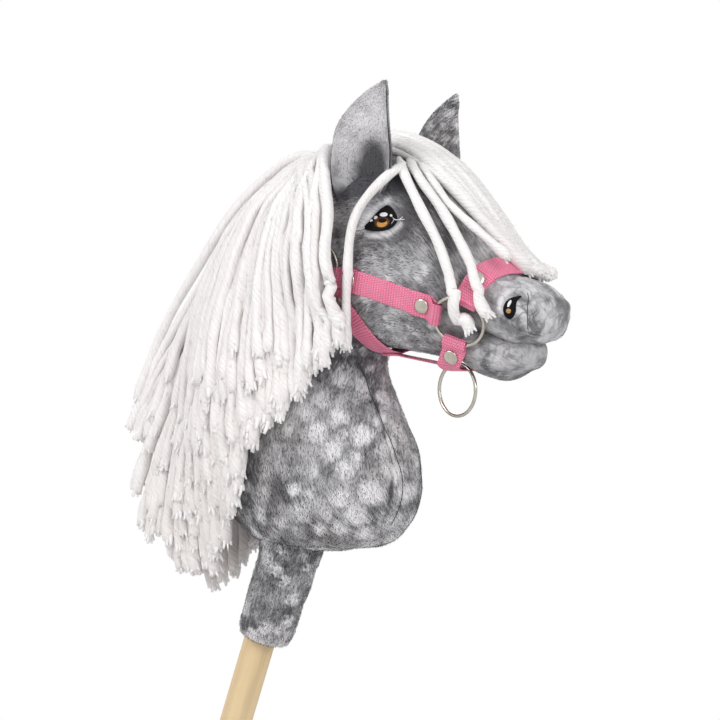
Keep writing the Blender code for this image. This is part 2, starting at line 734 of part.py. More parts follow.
def make_ring(name, normal, middle, parts):
    bpy.ops.mesh.primitive_torus_add(major_segments=RING_SEGMENTS, minor_segments=WIRE_SEGMENTS,
                                     major_radius=RING_INNER_RADIUS + RING_WIRE_RADIUS,
                                     minor_radius=RING_WIRE_RADIUS)
    ring = bpy.context.active_object
    ring.name = ring.data.name = name
    ring.matrix_world = align(normal, middle)
    return finish(ring, "nickel", parts)


def rivet_profile():
    """Domed cap over a shank that passes through both layers of the strap."""
    depth = 2 * STRAP_THICKNESS + LAYER_GAP
    cap = [(0.0, RIVET_HEIGHT)]
    for angle in np.linspace(0.0, math.pi / 2, RIVET_DOME_STEPS + 1)[1:]:
        cap.append((RIVET_RADIUS * math.sin(angle),
                    RIVET_RIM + (RIVET_HEIGHT - RIVET_RIM) * math.cos(angle)))
    return cap + [(RIVET_RADIUS, 0.0), (RIVET_SHANK_RADIUS, 0.0),
                  (RIVET_SHANK_RADIUS, -depth - GAP), (0.0, -depth - GAP)]


def add_rivet(name, route, backwards, strap, parts, cutters):
    """Rivet at its distance from the ring, with the hole it needs."""
    lift = SKIN_GAP + 2 * STRAP_THICKNESS + LAYER_GAP + RIVET_GAP
    spots = []
    for distance, offset in ((RIVET_FROM_RING, 0.0), (RIVET_FROM_RING + 4 * MM, 0.0),
                             (RIVET_FROM_RING - 4 * MM, 0.0),
                             (RIVET_FROM_RING, 4 * MM), (RIVET_FROM_RING, -4 * MM)):
        real = route.length - distance if backwards else distance
        spots.append(route.point(real, offset, lift))
    normal = np.cross(spots[1] - spots[2], spots[3] - spots[4])
    normal = normal / np.linalg.norm(normal)
    outward = spots[0] - place((150, 230), 0.0)
    if np.dot(normal, outward) < 0:
        normal = -normal
    rivet = turned(name, rivet_profile(), RIVET_SIDES)
    rivet.matrix_world = align(normal, spots[0])
    finish(rivet, "nickel", parts)
    depth = 4 * STRAP_THICKNESS
    bpy.ops.mesh.primitive_cylinder_add(vertices=16, radius=RIVET_SHANK_RADIUS + GAP, depth=2 * depth)
    hole = bpy.context.active_object
    hole.name = "cut_" + name
    hole.matrix_world = align(normal, spots[0])
    cut_with(strap, hole, cutters)
    return rivet


def make_strap(name, route, ring_a, ring_b, parts, outward, gather_a=GATHER_NONE,
               gather_b=GATHER_NONE):
    """Webbing strap between two rings, folded round each and riveted."""
    first = loop_rows(ring_a, route, False, gather_a)
    last = loop_rows(ring_b, route, True, gather_b)
    start = RIVET_FROM_RING + TAIL_PAST_RIVET + 7.0 * MM
    end = route.length - start
    lift = SKIN_GAP + STRAP_THICKNESS / 2
    rows = list(reversed(first))
    if end > start:
        count = max(2, int(round((end - start) / STRAP_STEP)) + 1)
        for distance in np.linspace(start, end, count):
            rows.append([route.point(distance, STRAP_WIDTH * o, lift) for o in OFFSETS])
    rows += last
    strap = sheet_object(name, rows, STRAP_THICKNESS, outward)
    return finish(strap, "webbing", parts)


def make_halter(tree, parts, cutters):
    down = np.array([0.0, 0.0, -1.0])
    up = -down
    cheek = {side: Ring(tree, CHEEK_RING, side) for side in (-1, 1)}
    throat = {side: Ring(tree, THROAT_RING, side) for side in (-1, 1)}
    names = {-1: "right", 1: "left"}
    for side in (-1, 1):
        word = names[side]
        make_ring("cheek_ring_" + word, cheek[side].normal, cheek[side].middle, parts)
        make_ring("throat_ring_" + word, throat[side].normal, throat[side].middle, parts)
        route = side_route(tree, CHEEK_RING, THROAT_RING, side)
        strap = make_strap("cheek_strap_" + word, route, cheek[side], throat[side], parts,
                           np.array([0.0, side, 0.0]), gather_b=THROAT_GATHER)
        add_rivet("rivet_cheek_front_" + word, route, False, strap, parts, cutters)
        add_rivet("rivet_cheek_rear_" + word, route, True, strap, parts, cutters)
    bands = (
        ("noseband", CHEEK_RING, NOSE_TOP, (206, 212), 0.12, cheek, 0.0, "rivet_nose_", up),
        ("chin_strap", CHEEK_RING, CHIN_LOW, CHEEK_RING, 0.12, cheek, 0.0, "rivet_chin_", down),
        ("throat_strap", THROAT_RING, THROAT_LOW, (84, 205), 0.06, throat, THROAT_SLACK,
         "rivet_throat_", down),
        ("crown_strap", THROAT_RING, POLL_TOP, CROWN_INSIDE, CROWN_REACH, throat, 0.0,
         "rivet_crown_", up),
    )
    routes = {}
    for name, start, middle, inside, reach_out, rings, slack, rivet, outward in bands:
        if name == "chin_strap":
            route = Hanging(rings[-1], middle)
        else:
            route = round_route(tree, start, middle, inside, reach_out, slack)
        gather = THROAT_GATHER if name == "throat_strap" else GATHER_NONE
        strap = make_strap(name, route, rings[-1], rings[1], parts, outward, gather, gather)
        routes[name] = route
        add_rivet(rivet + "right", route, False, strap, parts, cutters)
        add_rivet(rivet + "left", route, True, strap, parts, cutters)
    make_lead_ring(routes["chin_strap"], parts)
    make_jaw_strap(routes["chin_strap"], routes["throat_strap"], parts)


def make_lead_ring(route, parts):
    """Ring threaded on the chin strap. It hangs by its top from the strap's
    upper face, its hinge axis along the wire there."""
    half = route.length / 2 + LEAD_RING_SIDE
    edges = [route.point(half, STRAP_WIDTH * o, SKIN_GAP) for o in (-0.5, 0.5)]
    wire = RING_INNER_RADIUS + RING_WIRE_RADIUS
    drop = wire - math.sqrt(wire**2 - (STRAP_WIDTH / 2) ** 2)
    top = (edges[0] + edges[1]) / 2
    top[2] = max(edge[2] for edge in edges) + drop + RING_WIRE_RADIUS + LEAD_RING_GAP
    normal = np.array([math.sin(LEAD_RING_TURN), -math.cos(LEAD_RING_TURN), 0.0])
    ring = make_ring("lead_ring", normal, top - np.array([0.0, 0.0, wire]), parts)
    hinge = bpy.data.objects.new("lead_ring_hinge", None)
    hinge.location = top
    parts.objects.link(hinge)
    bpy.context.view_layer.update()
    placed = ring.matrix_world.copy()
    ring.parent = hinge
    ring.matrix_parent_inverse = Matrix.Translation(Vector(top)).inverted()
    ring.matrix_world = placed
    return ring


def make_jaw_strap(chin, throat, parts):
    """Strap under the jaw from the chin strap's upper face, beside the lead
    ring, to the throat strap's lower face."""
    lift = GAP + STRAP_THICKNESS / 2
    ends = (
        (chin, JAW_STRAP_SIDE, SKIN_GAP - lift),
        (throat, 0.0, SKIN_GAP + STRAP_THICKNESS + lift),
    )
    tabs = []
    for route, side, rise in ends:
        middle = route.length / 2 + side
        tabs.append([[route.point(middle + STRAP_WIDTH * o * JAW_STRAP_NARROW,
                                  STRAP_WIDTH * reach, rise) for o in OFFSETS]
                     for reach in (JAW_TAB_REACH, -JAW_TAB_REACH)])
    rows = list(tabs[0])
    for share in np.linspace(0.0, 1.0, JAW_STRAP_STEPS)[1:-1]:
        rows.append([start * (1 - share) + end * share
                     for start, end in zip(tabs[0][1], tabs[1][0])])
    strap = sheet_object("jaw_strap", rows + tabs[1], STRAP_THICKNESS, np.array([0.0, 0.0, -1.0]))
    return finish(strap, "webbing", parts)


def ear_sheet(side, inset, back, last):
    """Curled sheet of one ear: rows from the root to the tip, columns across.
    `inset` narrows it and `back` moves it away from the ear's mouth."""
    axis = np.array([EAR_AXIS[0], side * EAR_AXIS[1], EAR_AXIS[2]])
    axis = axis / np.linalg.norm(axis)
    mouth = np.array([math.cos(EAR_TURN), side * math.sin(EAR_TURN), 0.0])
    mouth = mouth - axis * np.dot(mouth, axis)
    mouth = mouth / np.linalg.norm(mouth)
    across = np.cross(axis, mouth)
    rows = []
    for x, y, z, half, curl in read_rows(EAR_SECTIONS, np.linspace(0.0, last, EAR_ROWS)):
        half = max(half * MM - inset, 1.0 * MM)
        curl = math.radians(curl)
        radius = half / math.sin(curl)
        depth = radius * (1 - math.cos(curl)) / 2
        middle = place((x, z), side * y * MM)
        turns = np.linspace(-curl, curl, EAR_COLUMNS)
        rows.append([middle + across * radius * math.sin(turn)
                     + mouth * (radius * (1 - math.cos(turn)) - depth - back) for turn in turns])
    return rows, mouth


def make_ears(parts, cutters):
    cutter = body_loft("cut_ears_by_head", GAP)
    between = EAR_SHELL / 2 + GAP + EAR_LINING / 2
    for side, word in ((-1, "right"), (1, "left")):
        rows, mouth = ear_sheet(side, 0.0, between, len(EAR_SECTIONS) - 1.0)
        shell = sheet_object("ear_shell_" + word, rows, EAR_SHELL, -mouth)
        cut_with(shell, cutter, cutters)
        finish(shell, "plush", parts)
        rows, mouth = ear_sheet(side, EAR_LINING_INSET, 0.0, EAR_LINING_END)
        lining = sheet_object("ear_lining_" + word, rows, EAR_LINING, -mouth)
        cut_with(lining, cutter, cutters)
        finish(lining, "lining", parts)


def make_patch(name, tree, spot_mm, side, outline, parts):
    """Thin sewn patch that follows the plush inside the given outline."""
    spot = place(spot_mm)
    reach = 8.0 * MM
    a, b, c = [side_hit(tree, spot[0] + dx, spot[2] + dz, side)
               for dx, dz in ((-reach, -reach), (reach, -reach), (0.0, reach))]
    normal = np.cross(b - a, c - a)
    normal = normal / np.linalg.norm(normal)
    if normal[1] * side < 0:
        normal = -normal
    forward = np.array([1.0, 0.0, 0.0])
    forward = forward - normal * np.dot(forward, normal)
    forward = forward / np.linalg.norm(forward)
    upward = np.cross(forward, normal) * side
    middle = side_hit(tree, spot[0], spot[2], side)
    lift = SKIN_GAP + PATCH_THICKNESS / 2

    def on_plush(along, above):
        start = middle + forward * along + upward * above + normal * 30 * MM
        return hit_skin(tree, start, -normal) + normal * lift

    points = [on_plush(0.0, 0.0)]
    angles = np.linspace(0.0, 2 * math.pi, PATCH_SIDES, endpoint=False)
    for ring in range(1, PATCH_RINGS + 1):
        for angle in angles:
            along, above = outline(angle)
            points.append(on_plush(along * ring / PATCH_RINGS, above * ring / PATCH_RINGS))
    faces = []
    for i in range(PATCH_SIDES):
        j = (i + 1) % PATCH_SIDES
        faces.append((0, 1 + i, 1 + j))
        for ring in range(PATCH_RINGS - 1):
            low, high = 1 + ring * PATCH_SIDES, 1 + (ring + 1) * PATCH_SIDES
            faces.append((low + i, high + i, high + j, low + j))
    if side > 0:
        faces = [tuple(reversed(face)) for face in faces]
    patch = mesh_object(name, points, faces)
    wall = patch.modifiers.new("wall", "SOLIDIFY")
    wall.thickness = PATCH_THICKNESS
    wall.offset = 0.0
    return finish(patch, "thread", parts)


def turned_outline(outline, slant):
    def turned_point(angle):
        along, above = outline(angle)
        return (along * math.cos(slant) - above * math.sin(slant),
                along * math.sin(slant) + above * math.cos(slant))
    return turned_point


def almond(angle):
    """Eye outline: an oval drawn out to a point at each corner."""
    return (EYE_LENGTH / 2 * math.cos(angle),
            EYE_HEIGHT / 2 * math.sin(angle) * abs(math.sin(angle)) ** 0.35)


def comma(angle):
    """Nostril outline: an oval that narrows towards one end."""
    return (NOSTRIL_LENGTH / 2 * math.cos(angle),
            NOSTRIL_HEIGHT / 2 * math.sin(angle) * (1 - 0.35 * math.cos(angle)))


def make_patches(tree, parts):
    for side, word in ((-1, "right"), (1, "left")):
        make_patch("eye_patch_" + word, tree, EYE_PLACE, side,
                   turned_outline(almond, EYE_SLANT), parts)
        make_patch("nostril_patch_" + word, tree, NOSTRIL_PLACE, side,
                   turned_outline(comma, NOSTRIL_SLANT), parts)


def make_mane_tape(parts):
    """Tape along the crest seam that the mane's yarn is sewn to."""
    spots = np.linspace(TAPE_FIRST, TAPE_LAST, TAPE_ROWS)
    lift = SKIN_GAP + TAPE_THICKNESS / 2
    rows = []
    for spot in spots:
        row = read_rows(BODY_SECTIONS, [spot])[0]
        spread = TAPE_WIDTH / 2 / (row[4] * MM)
        rows.append(section_points(row, np.array([-spread, 0.0, spread]), lift))
    tape = sheet_object("mane_tape", rows, TAPE_THICKNESS, np.array([-1.0, 0.0, 0.5]))
    return finish(tape, "tape", parts)


def swept_lock(name, route, half_width, half_thickness):
    """Closed lock of yarn along three smooth points, flat in the side view."""
    line = read_rows(route, np.linspace(0.0, len(route) - 1.0, LOCK_RINGS))
    runs = np.gradient(line, axis=0)
    runs = runs / np.linalg.norm(runs, axis=1)[:, None]
    angles = np.linspace(0.0, 2 * math.pi, LOCK_SIDES, endpoint=False)
    points = []
    for i, (middle, run) in enumerate(zip(line, runs)):
        share = i / (LOCK_RINGS - 1)
        grow = LOCK_ROOT_SHARE + (1 - LOCK_ROOT_SHARE) * math.sin(math.pi * min(share * 1.5, 0.5))
        past = max(0.0, share - LOCK_NARROWS) / (1 - LOCK_NARROWS)
        grow = grow - (1 - LOCK_TIP_SHARE) * past
        wide = np.cross(run, np.array([0.0, 1.0, 0.0]))
        wide = wide / np.linalg.norm(wide)
        thick = np.cross(wide, run)
        for angle in angles:
            points.append(middle + wide * half_width * grow * math.cos(angle)
                          + thick * half_thickness * grow * math.sin(angle))
    points.append(line[0] - runs[0] * half_thickness * LOCK_END_DOME)
    points.append(line[-1] + runs[-1] * half_width * LOCK_END_DOME)
    sides = LOCK_SIDES
    faces = [(r * sides + s, r * sides + (s + 1) % sides,
              (r + 1) * sides + (s + 1) % sides, (r + 1) * sides + s)
             for r in range(LOCK_RINGS - 1) for s in range(sides)]
    last = (LOCK_RINGS - 1) * sides
    for s in range(sides):
        following = (s + 1) % sides
        faces.append((following, s, LOCK_RINGS * sides))
        faces.append((last + s, last + following, LOCK_RINGS * sides + 1))
    return mesh_object(name, points, faces, fix_normals=True)


def crown_room():
    """Room for the crown strap and its rivets under the mane: a band of the
    body, swollen by their height."""
    start, middle = place(THROAT_RING), place(POLL_TOP)
    run = middle - start
    reach = np.linalg.norm(run)
    bpy.ops.mesh.primitive_cube_add(size=1.0, location=(start + middle) / 2)
    band = bpy.context.active_object
    band.rotation_euler = (0.0, math.atan2(run[0], run[2]), 0.0)
    band.scale = (STRAP_WIDTH + 2 * MANE_ROOM, BAND_LENGTH * reach, BAND_WIDTH * reach)
    high = SKIN_GAP + 2 * STRAP_THICKNESS + LAYER_GAP + RIVET_GAP + RIVET_HEIGHT + MANE_ROOM
    return combine(band, body_loft("swollen_body", high), "INTERSECT")


def make_mane(tree, parts):
    """Thick yarn locks of each side, joined into one curtain a side and cut
    clear of the body, the tape, the crown strap and the middle plane."""
    clear = SKIN_GAP + TAPE_THICKNESS + MANE_ROOM
    right = None
    for number, lock in enumerate(MANE_LOCKS):
        root = section_points(read_rows(BODY_SECTIONS, [lock[0]])[0],
                              np.array([LOCK_ROOT_ANGLE]), clear + lock[8] * MM / 2)[0]
        middle = place((lock[1], lock[3]), -lock[2] * MM)
        tip = place((lock[4], lock[6]), -lock[5] * MM)
        item = swept_lock("lock_%d" % number, np.array([root, middle, tip]), lock[7] * MM,
                          lock[8] * MM)
        right = item if right is None else combine(right, item, "UNION")
    combine(right, crown_room(), "DIFFERENCE")
    ring = Ring(tree, THROAT_RING, -1)
    bpy.ops.mesh.primitive_cylinder_add(
        vertices=24, radius=RING_INNER_RADIUS + 4 * RING_WIRE_RADIUS + MANE_ROOM,
        depth=2 * (RING_WIRE_RADIUS + STRAP_THICKNESS + MANE_ROOM))
    room = bpy.context.active_object
    room.matrix_world = align(ring.normal, ring.middle)
    combine(right, room, "DIFFERENCE")
    combine(right, body_loft("body_room", clear), "DIFFERENCE")
    bpy.ops.mesh.primitive_cube_add(
        size=HALF_SPACE, location=(0.0, HALF_SPACE / 2 - GAP / 2, HALF_SPACE / 2))
    combine(right, bpy.context.active_object, "DIFFERENCE")
    right.name = right.data.name = "mane_right"
    mesh = right.data.copy()
    mesh.transform(Matrix.Diagonal((1.0, -1.0, 1.0, 1.0)))
    mesh.flip_normals()
    mesh.name = "mane_left"
    left = bpy.data.objects.new("mane_left", mesh)
    finish(right, "yarn", parts, smooth=False)
    finish(left, "yarn", parts, smooth=False)


def make_forelock(parts):
    """Bundle of yarn from the poll over the forehead to the nose: each row is
    a closed loop along the plush and back over the yarn."""
    steps = np.linspace(0.0, len(FORELOCK_ROWS) - 1.0, FORELOCK_LENGTH_STEPS)
    shares = np.linspace(0.0, 1.0, FORELOCK_LENGTH_STEPS)
    loops = []
    for share, (spot, near, far, thickness) in zip(shares, read_rows(FORELOCK_ROWS, steps)):
        over_strap = min(1.0, max(0.0, (share - 0.45) / 0.2))
        lift = FORELOCK_LIFT + (FORELOCK_STRAP_LIFT - FORELOCK_LIFT) * over_strap
        row = read_rows(BODY_SECTIONS, [spot])[0]
        angles = np.radians(np.linspace(near, far, FORELOCK_WIDTH_STEPS))
        inner = section_points(row, angles, lift)
        rounding = np.sqrt(1 - (0.94 * np.linspace(-1, 1, FORELOCK_WIDTH_STEPS)) ** 2)
        outer = [section_points(row, angles[i:i + 1], lift + thickness * MM * grow)[0]
                 for i, grow in enumerate(rounding)]
        loops.append(np.vstack([inner, outer[::-1]]))
    sides = len(loops[0])
    faces = [(r * sides + s, r * sides + (s + 1) % sides,
              (r + 1) * sides + (s + 1) % sides, (r + 1) * sides + s)
             for r in range(len(loops) - 1) for s in range(sides)]
    last = (len(loops) - 1) * sides
    for s in range(FORELOCK_WIDTH_STEPS - 1):
        back = sides - 1 - s
        faces.append((s, s + 1, back - 1, back))
        faces.append((last + s, last + s + 1, last + back - 1, last + back))
    item = mesh_object("forelock", np.vstack(loops), faces, fix_normals=True)
    return finish(item, "yarn", parts)


def make_strands(tree, parts):
    """Loose yarn strands that fall over the face from the forelock."""
    for number, points in enumerate(STRANDS, start=1):
        steps = np.linspace(0.0, len(points) - 1.0, STRAND_STEPS)
        line = []
        for x, y, z, lift in read_rows(points, steps):
            spot = place((x, z), y * MM)
            near, normal = tree.find_nearest(Vector(spot))[:2]
            line.append(np.array(near) + np.array(normal) * lift * MM)
        line = np.array(line)
        line[1:-1] = (line[:-2] + 2 * line[1:-1] + line[2:]) / 4
        curve = bpy.data.curves.new("forelock_strand_%d" % number, "CURVE")
        curve.dimensions = "3D"
        curve.bevel_depth = STRAND_RADIUS
        curve.bevel_resolution = 1
        curve.use_fill_caps = True
        spline = curve.splines.new("POLY")
        spline.points.add(len(line) - 1)
        for target, point in zip(spline.points, line):
            target.co = (*point, 1.0)
        item = bpy.data.objects.new(curve.name, curve)
        item.data.materials.append(material(item.name, COLORS["yarn"], 0.9))
        parts.objects.link(item)


def main():
    clear_scene()
    parts = collection("hobby_horse")
    cutters = collection("cutters")
    make_stick(parts)
    make_sleeve(parts, cutters)
    make_body(parts, cutters)
    tree = skin_tree()
    make_halter(tree, parts, cutters)
    make_ears(parts, cutters)
    make_patches(tree, parts)
    make_mane_tape(parts)
    make_mane(tree, parts)
    make_forelock(parts)
    make_strands(tree, parts)


if __name__ == "__main__":
    main()
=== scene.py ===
"""Looks of the plush hobby horse: dappled pile, yarn mane and forelock, webbing
halter, nickel rings and rivets, embroidered eyes and nostrils, wooden stick."""

import functools
import json
import math

import bmesh
import bpy
import numpy as np
from bpy.props import FloatProperty, FloatVectorProperty, IntProperty, PointerProperty
from mathutils import Matrix, Vector
from mathutils.bvhtree import BVHTree


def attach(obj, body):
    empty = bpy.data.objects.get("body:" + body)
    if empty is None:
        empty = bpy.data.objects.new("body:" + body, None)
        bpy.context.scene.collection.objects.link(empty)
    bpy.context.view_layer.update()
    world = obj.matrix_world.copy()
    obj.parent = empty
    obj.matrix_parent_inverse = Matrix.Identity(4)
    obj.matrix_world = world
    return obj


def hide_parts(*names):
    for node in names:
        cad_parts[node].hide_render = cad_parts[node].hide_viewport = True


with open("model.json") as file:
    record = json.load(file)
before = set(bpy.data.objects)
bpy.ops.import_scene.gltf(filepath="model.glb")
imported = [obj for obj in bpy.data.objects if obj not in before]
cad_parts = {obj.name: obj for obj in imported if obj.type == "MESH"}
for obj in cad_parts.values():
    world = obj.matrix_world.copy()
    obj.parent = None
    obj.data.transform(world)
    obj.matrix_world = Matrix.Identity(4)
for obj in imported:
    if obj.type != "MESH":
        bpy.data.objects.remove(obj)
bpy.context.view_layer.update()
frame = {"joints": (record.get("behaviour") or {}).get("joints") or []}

bl_info = {
    "name": "Hobby Horse Maker",
    "version": (1, 0, 0),
    "blender": (4, 5, 0),
    "location": "View3D > Sidebar > Hobby Horse",
    "description": "Builds the plush, yarn, webbing and metal of a hobby horse round its frame",
    "category": "Add Mesh",
}

MM = 0.001
SIDES = ((-1, "right"), (1, "left"))

# Stick and the side view's zero, as in the frame
STICK_TILT = math.radians(20.0)
STICK_RADIUS = 14.0 * MM
STICK_LENGTH = 690.0 * MM
STICK_CHAMFER = 2.0 * MM
STICK_SHOWN = 460.0 * MM
NECK_SEAT = 545.0 * MM
NECK_FORWARD = 5.0 * MM
SLEEVE_FORWARD = 4.0 * MM
SLEEVE_TOP = 562.0 * MM
SEAT = np.array([math.sin(STICK_TILT) * NECK_SEAT + NECK_FORWARD, 0.0,
                 math.cos(STICK_TILT) * NECK_SEAT])

# Sections of the stuffed neck and head, chest to nose, in millimetres of the
# side view: upper or back x, z, lower or front x, z, half width, squareness
BODY_SECTIONS = np.array((
    (-8, 0, 64, 0, 16, 2.0), (-36, 5, 95, 4, 33, 2.0), (-59, 23, 115, 19, 44, 2.1),
    (-76, 50, 127, 46, 49, 2.2), (-85, 85, 125, 79, 50, 2.2), (-88, 121, 112, 109, 49, 2.2),
    (-85, 158, 100, 133, 47, 2.2), (-77, 196, 94, 153, 45, 2.2), (-63, 232, 92, 166, 44, 2.2),
    (-41, 266, 98, 172, 45, 2.2), (-12, 296, 110, 171, 47, 2.2), (22, 320, 124, 169, 49, 2.2),
    (59, 335, 139, 167, 51, 2.3), (97, 338, 155, 165, 52, 2.3), (131, 326, 169, 165, 51, 2.3),
    (161, 304, 182, 169, 48, 2.3), (186, 277, 195, 176, 44, 2.2), (207, 250, 207, 182, 42, 2.3),
    (226, 231, 220, 177, 40, 2.5), (245, 222, 236, 172, 38, 2.6), (259, 211, 249, 175, 33, 2.6)))
LIP_SECTIONS = np.array((
    (160, 182, 162, 168, 20, 2.0), (180, 187, 179, 160, 25, 2.1), (200, 188, 197, 149, 28, 2.3),
    (221, 186, 218, 144, 31, 2.3), (240, 178, 237, 152, 25, 2.2)))
# Rings and points round each: the frame's plain skins that the halter was laid
# on, the visible skins, and the coarse one that is stuffed
GUIDES = ((BODY_SECTIONS, 44, 20), (LIP_SECTIONS, 10, 16))
SKIN_RINGS, SKIN_SIDES, SKIN_CAP = 330, 208, 14
LIP_RINGS, LIP_SIDES = 90, 96
SIM_RINGS, SIM_SIDES, SIM_CAP = 96, 60, 5
# Height of the domes that close each shape's first and last ring
CHEST_DOME, NOSE_DOME = 4.0 * MM, 9.0 * MM
LIP_DOMES = ((4.0 * MM, 8), (8.0 * MM, 12))
# Stuffing, as cloth under pressure: the most it may move, and how
STUFFING_REACH = 3.5 * MM
STUFFING_PRESSURE = 4.0
STUFFING_STIFFNESS = 10.0
STUFFING_BENDING = 1.5
STUFFING_FRAMES = 20
STUFFING_SEAM = 4.0 * MM
# Half width in millimetres past which a point is on the flank, for bare spots
# and for pale bands, and where the gusset's seams lie across the neck
FLANK_BARE, FLANK_PALE = 12, 14
GUSSET_APART, GUSSET_BAND = 15.0 * MM, 9.0 * MM
# Where rays at a flank and at an embroidered place start
FLANK_RAY = 0.3
# Sleeve: its hem's radius and roll, and points of its inside as distance over
# the hem and radius in millimetres
SLEEVE_RINGS, SLEEVE_SIDES = 90, 120
SLEEVE_RADIUS = 24.2 * MM
HEM_ROLL, HEM_DROP = 3.0 * MM, 2.4 * MM
SLEEVE_INSIDE = ((4.0, 17.0), (14.0, 15.4), (40.0, 15.0))
PATCH_RAY = 30.0

# Halter, as in the frame
SKIN_GAP = 0.9 * MM
GAP = 0.3 * MM
STRAP_WIDTH = 20.0 * MM
STRAP_THICKNESS = 1.5 * MM
LAYER_GAP = 0.4 * MM
STRAP_STEP = 7.0 * MM
RING_INNER_RADIUS = 20.0 * MM
RING_WIRE_RADIUS = 1.5 * MM
RING_STAND_OFF = 4.2 * MM
RING_SPOTS = 36
RIVET_RADIUS = 6.2 * MM
RIVET_HEIGHT = 2.2 * MM
RIVET_GAP = 0.7 * MM
RIVET_FROM_RING = 34.0 * MM
TAIL_PAST_RIVET = 9.0 * MM
HEAD_MIDDLE = (150, 230)
# Middle-plane places inside the plush that the rays of each round strap go to
NOSE_INSIDE, THROAT_INSIDE, POLL_INSIDE = (206, 212), (84, 205), (64, 280)
THROAT_REACH = 60.0 * MM
FOLD_STEPS = 9
MIDDLE_LIFT = SKIN_GAP + STRAP_THICKNESS + LAYER_GAP / 2
GATHER_NONE = 0.577
THROAT_GATHER = 0.33
CHEEK_RING = (197, 195)
THROAT_RING = (65, 237)
NOSE_TOP = (224, 240)
CHIN_LOW = (173, 153.5)
HANG_HANDLE_RING = 16.0 * MM
HANG_HANDLE_LOW = 31.0 * MM
THROAT_LOW = (106, 169)
THROAT_SLACK = 4.0 * MM
POLL_TOP = (62, 335)
SIDE_REACH = 120.0 * MM
JAW_STRAP_SIDE = 8.0 * MM
JAW_STRAP_NARROW = 0.6
JAW_TAB_REACH = 0.3

# Ears: middle x, y, z, half width and half arc in degrees, root to tip
EAR_SECTIONS = np.array((
    (94, 41, 288, 14, 62), (101, 44, 301, 22.5, 66), (107, 47, 315, 27, 64),
    (112, 52, 334, 27, 58), (114, 54, 348, 24.5, 52), (118, 55, 361, 19.5, 46),
    (124, 56, 373, 13, 40), (130, 57, 381, 7.5, 34), (133, 57, 385, 3.5, 28)))
EAR_AXIS = (0.22, 0.08, 0.97)
EAR_TURN = math.radians(80.0)
EAR_SHELL = 3.6 * MM
EAR_LINING = 1.6 * MM

# Mane: side-view x, z and depth y of guide strands in millimetres, right side.
# Outer guides run along the crest and hang behind the neck, inner guides fall
# over its side towards the face. Rows run from the poll to the withers.
MANE_OUTER = (
    ((44, 330, -4), (22, 338, -8), (-3, 331, -10), (-53, 294, -12), (-99, 239, -14),
     (-137, 188, -17), (-158, 142, -20), (-173, 108, -22)),
    ((-12, 297, -4), (-37, 272, -10), (-63, 231, -14), (-91, 178, -16), (-121, 124, -18),
     (-142, 92, -20), (-154, 66, -22), (-163, 42, -22)),
    ((-56, 245, -4), (-72, 218, -10), (-90, 180, -14), (-108, 135, -16), (-124, 90, -18),
     (-136, 50, -20), (-142, 20, -20), (-145, -6, -20)),
    ((-80, 182, -4), (-90, 160, -10), (-99, 125, -12), (-106, 85, -14), (-111, 45, -14),
     (-108, 5, -14), (-100, -26, -14), (-90, -52, -12)),
)
MANE_INNER = (
    ((58, 334, -4), (76, 322, -34), (89, 299, -57), (95, 275, -63), (97, 242, -65),
     (99, 209, -65), (100, 190, -64), (101, 170, -62)),
    ((0, 305, -4), (26, 300, -32), (50, 285, -56), (58, 243, -64), (58, 202, -64),
     (56, 172, -63), (53, 150, -62), (51, 130, -60)),
    ((-48, 255, -4), (-26, 245, -34), (0, 226, -56), (10, 186, -62), (12, 150, -62),
     (12, 125, -62), (11, 108, -61), (9, 90, -60)),
    ((-80, 182, -4), (-70, 168, -28), (-52, 142, -46), (-40, 116, -53), (-34, 90, -54),
     (-34, 66, -52), (-42, 40, -42), (-52, 4, -28)),
)
# Millimetres by which strands of the mane stray and wave along x, z and y, and
# how much higher the strands at the poll lie than those at the withers
MANE_SWAY, MANE_WAVE, MANE_LAYERS = (3.5, 2.5, 2.0), (2.6, 2.0, 0.8), 13.0
# Points along paths
MANE_POINTS = 46
GUIDE_POINTS = 24
FORELOCK_POINTS = 34
STRAND_POINTS = 70
STITCH_POINTS = 14
GUSSET_POINTS = 60
TAPE_POINTS = 90
YARN_SIDES = 9

# Forelock: body section, angle to its near and far edge in degrees, thickness
FORELOCK_ROWS = np.array((
    (11.7, 14, -14, 2), (12.5, 11, -14, 9), (13.2, 11, -24, 16), (14.2, 12, -42, 22),
    (15.2, 11, -52, 22), (16.2, 8, -54, 20), (17.2, 3, -50, 15), (18.2, -6, -42, 10),
    (19.1, -16, -32, 6)))
# Loose strands over the face: side-view x, z and depth y of points on their
# middles. The CAD has the first three; one more and three at the mane's front
# are in the looks alone.
STRANDS = (
    ((140, 322, -34), (134, 311, -50), (124, 297, -60), (112, 281, -62), (105, 262, -62),
     (102, 240, -61), (98, 210, -58), (93, 172, -52)),
    ((131, 327, -30), (146, 307, -40), (163, 281, -44), (182, 252, -47), (196, 222, -50),
     (206, 201, -51), (211, 186, -48)),
    ((134, 326, -20), (152, 308, -30), (178, 281, -36), (199, 253, -41), (213, 231, -46),
     (220, 209, -49), (227, 196, -48)),
)
FACE_STRANDS = (
    ((140, 322, -14), (152, 309, -20), (174, 290, -26), (199, 271, -30), (219, 256, -31),
     (235, 243, -30)),
    ((66, 329, -24), (72, 308, -56), (79, 280, -65), (80, 240, -68), (78, 200, -67),
     (72, 160, -62)),
    ((60, 334, -12), (64, 322, -42), (68, 300, -62), (70, 262, -68), (69, 224, -69),
     (66, 186, -67), (62, 158, -63)),
    ((52, 333, -10), (56, 318, -44), (60, 292, -64), (61, 250, -69), (60, 208, -69),
     (57, 172, -66), (54, 146, -62)),
)
# Yarn: plies round a strand and how far they lean along it
YARN_PLIES = 6
YARN_TWIST = 0.85
# Shades of single pile hairs, from the dark colour over the mid to the pale one
HAIR_SHADES = (0.12, 0.36, 0.55, 0.76, 0.95)
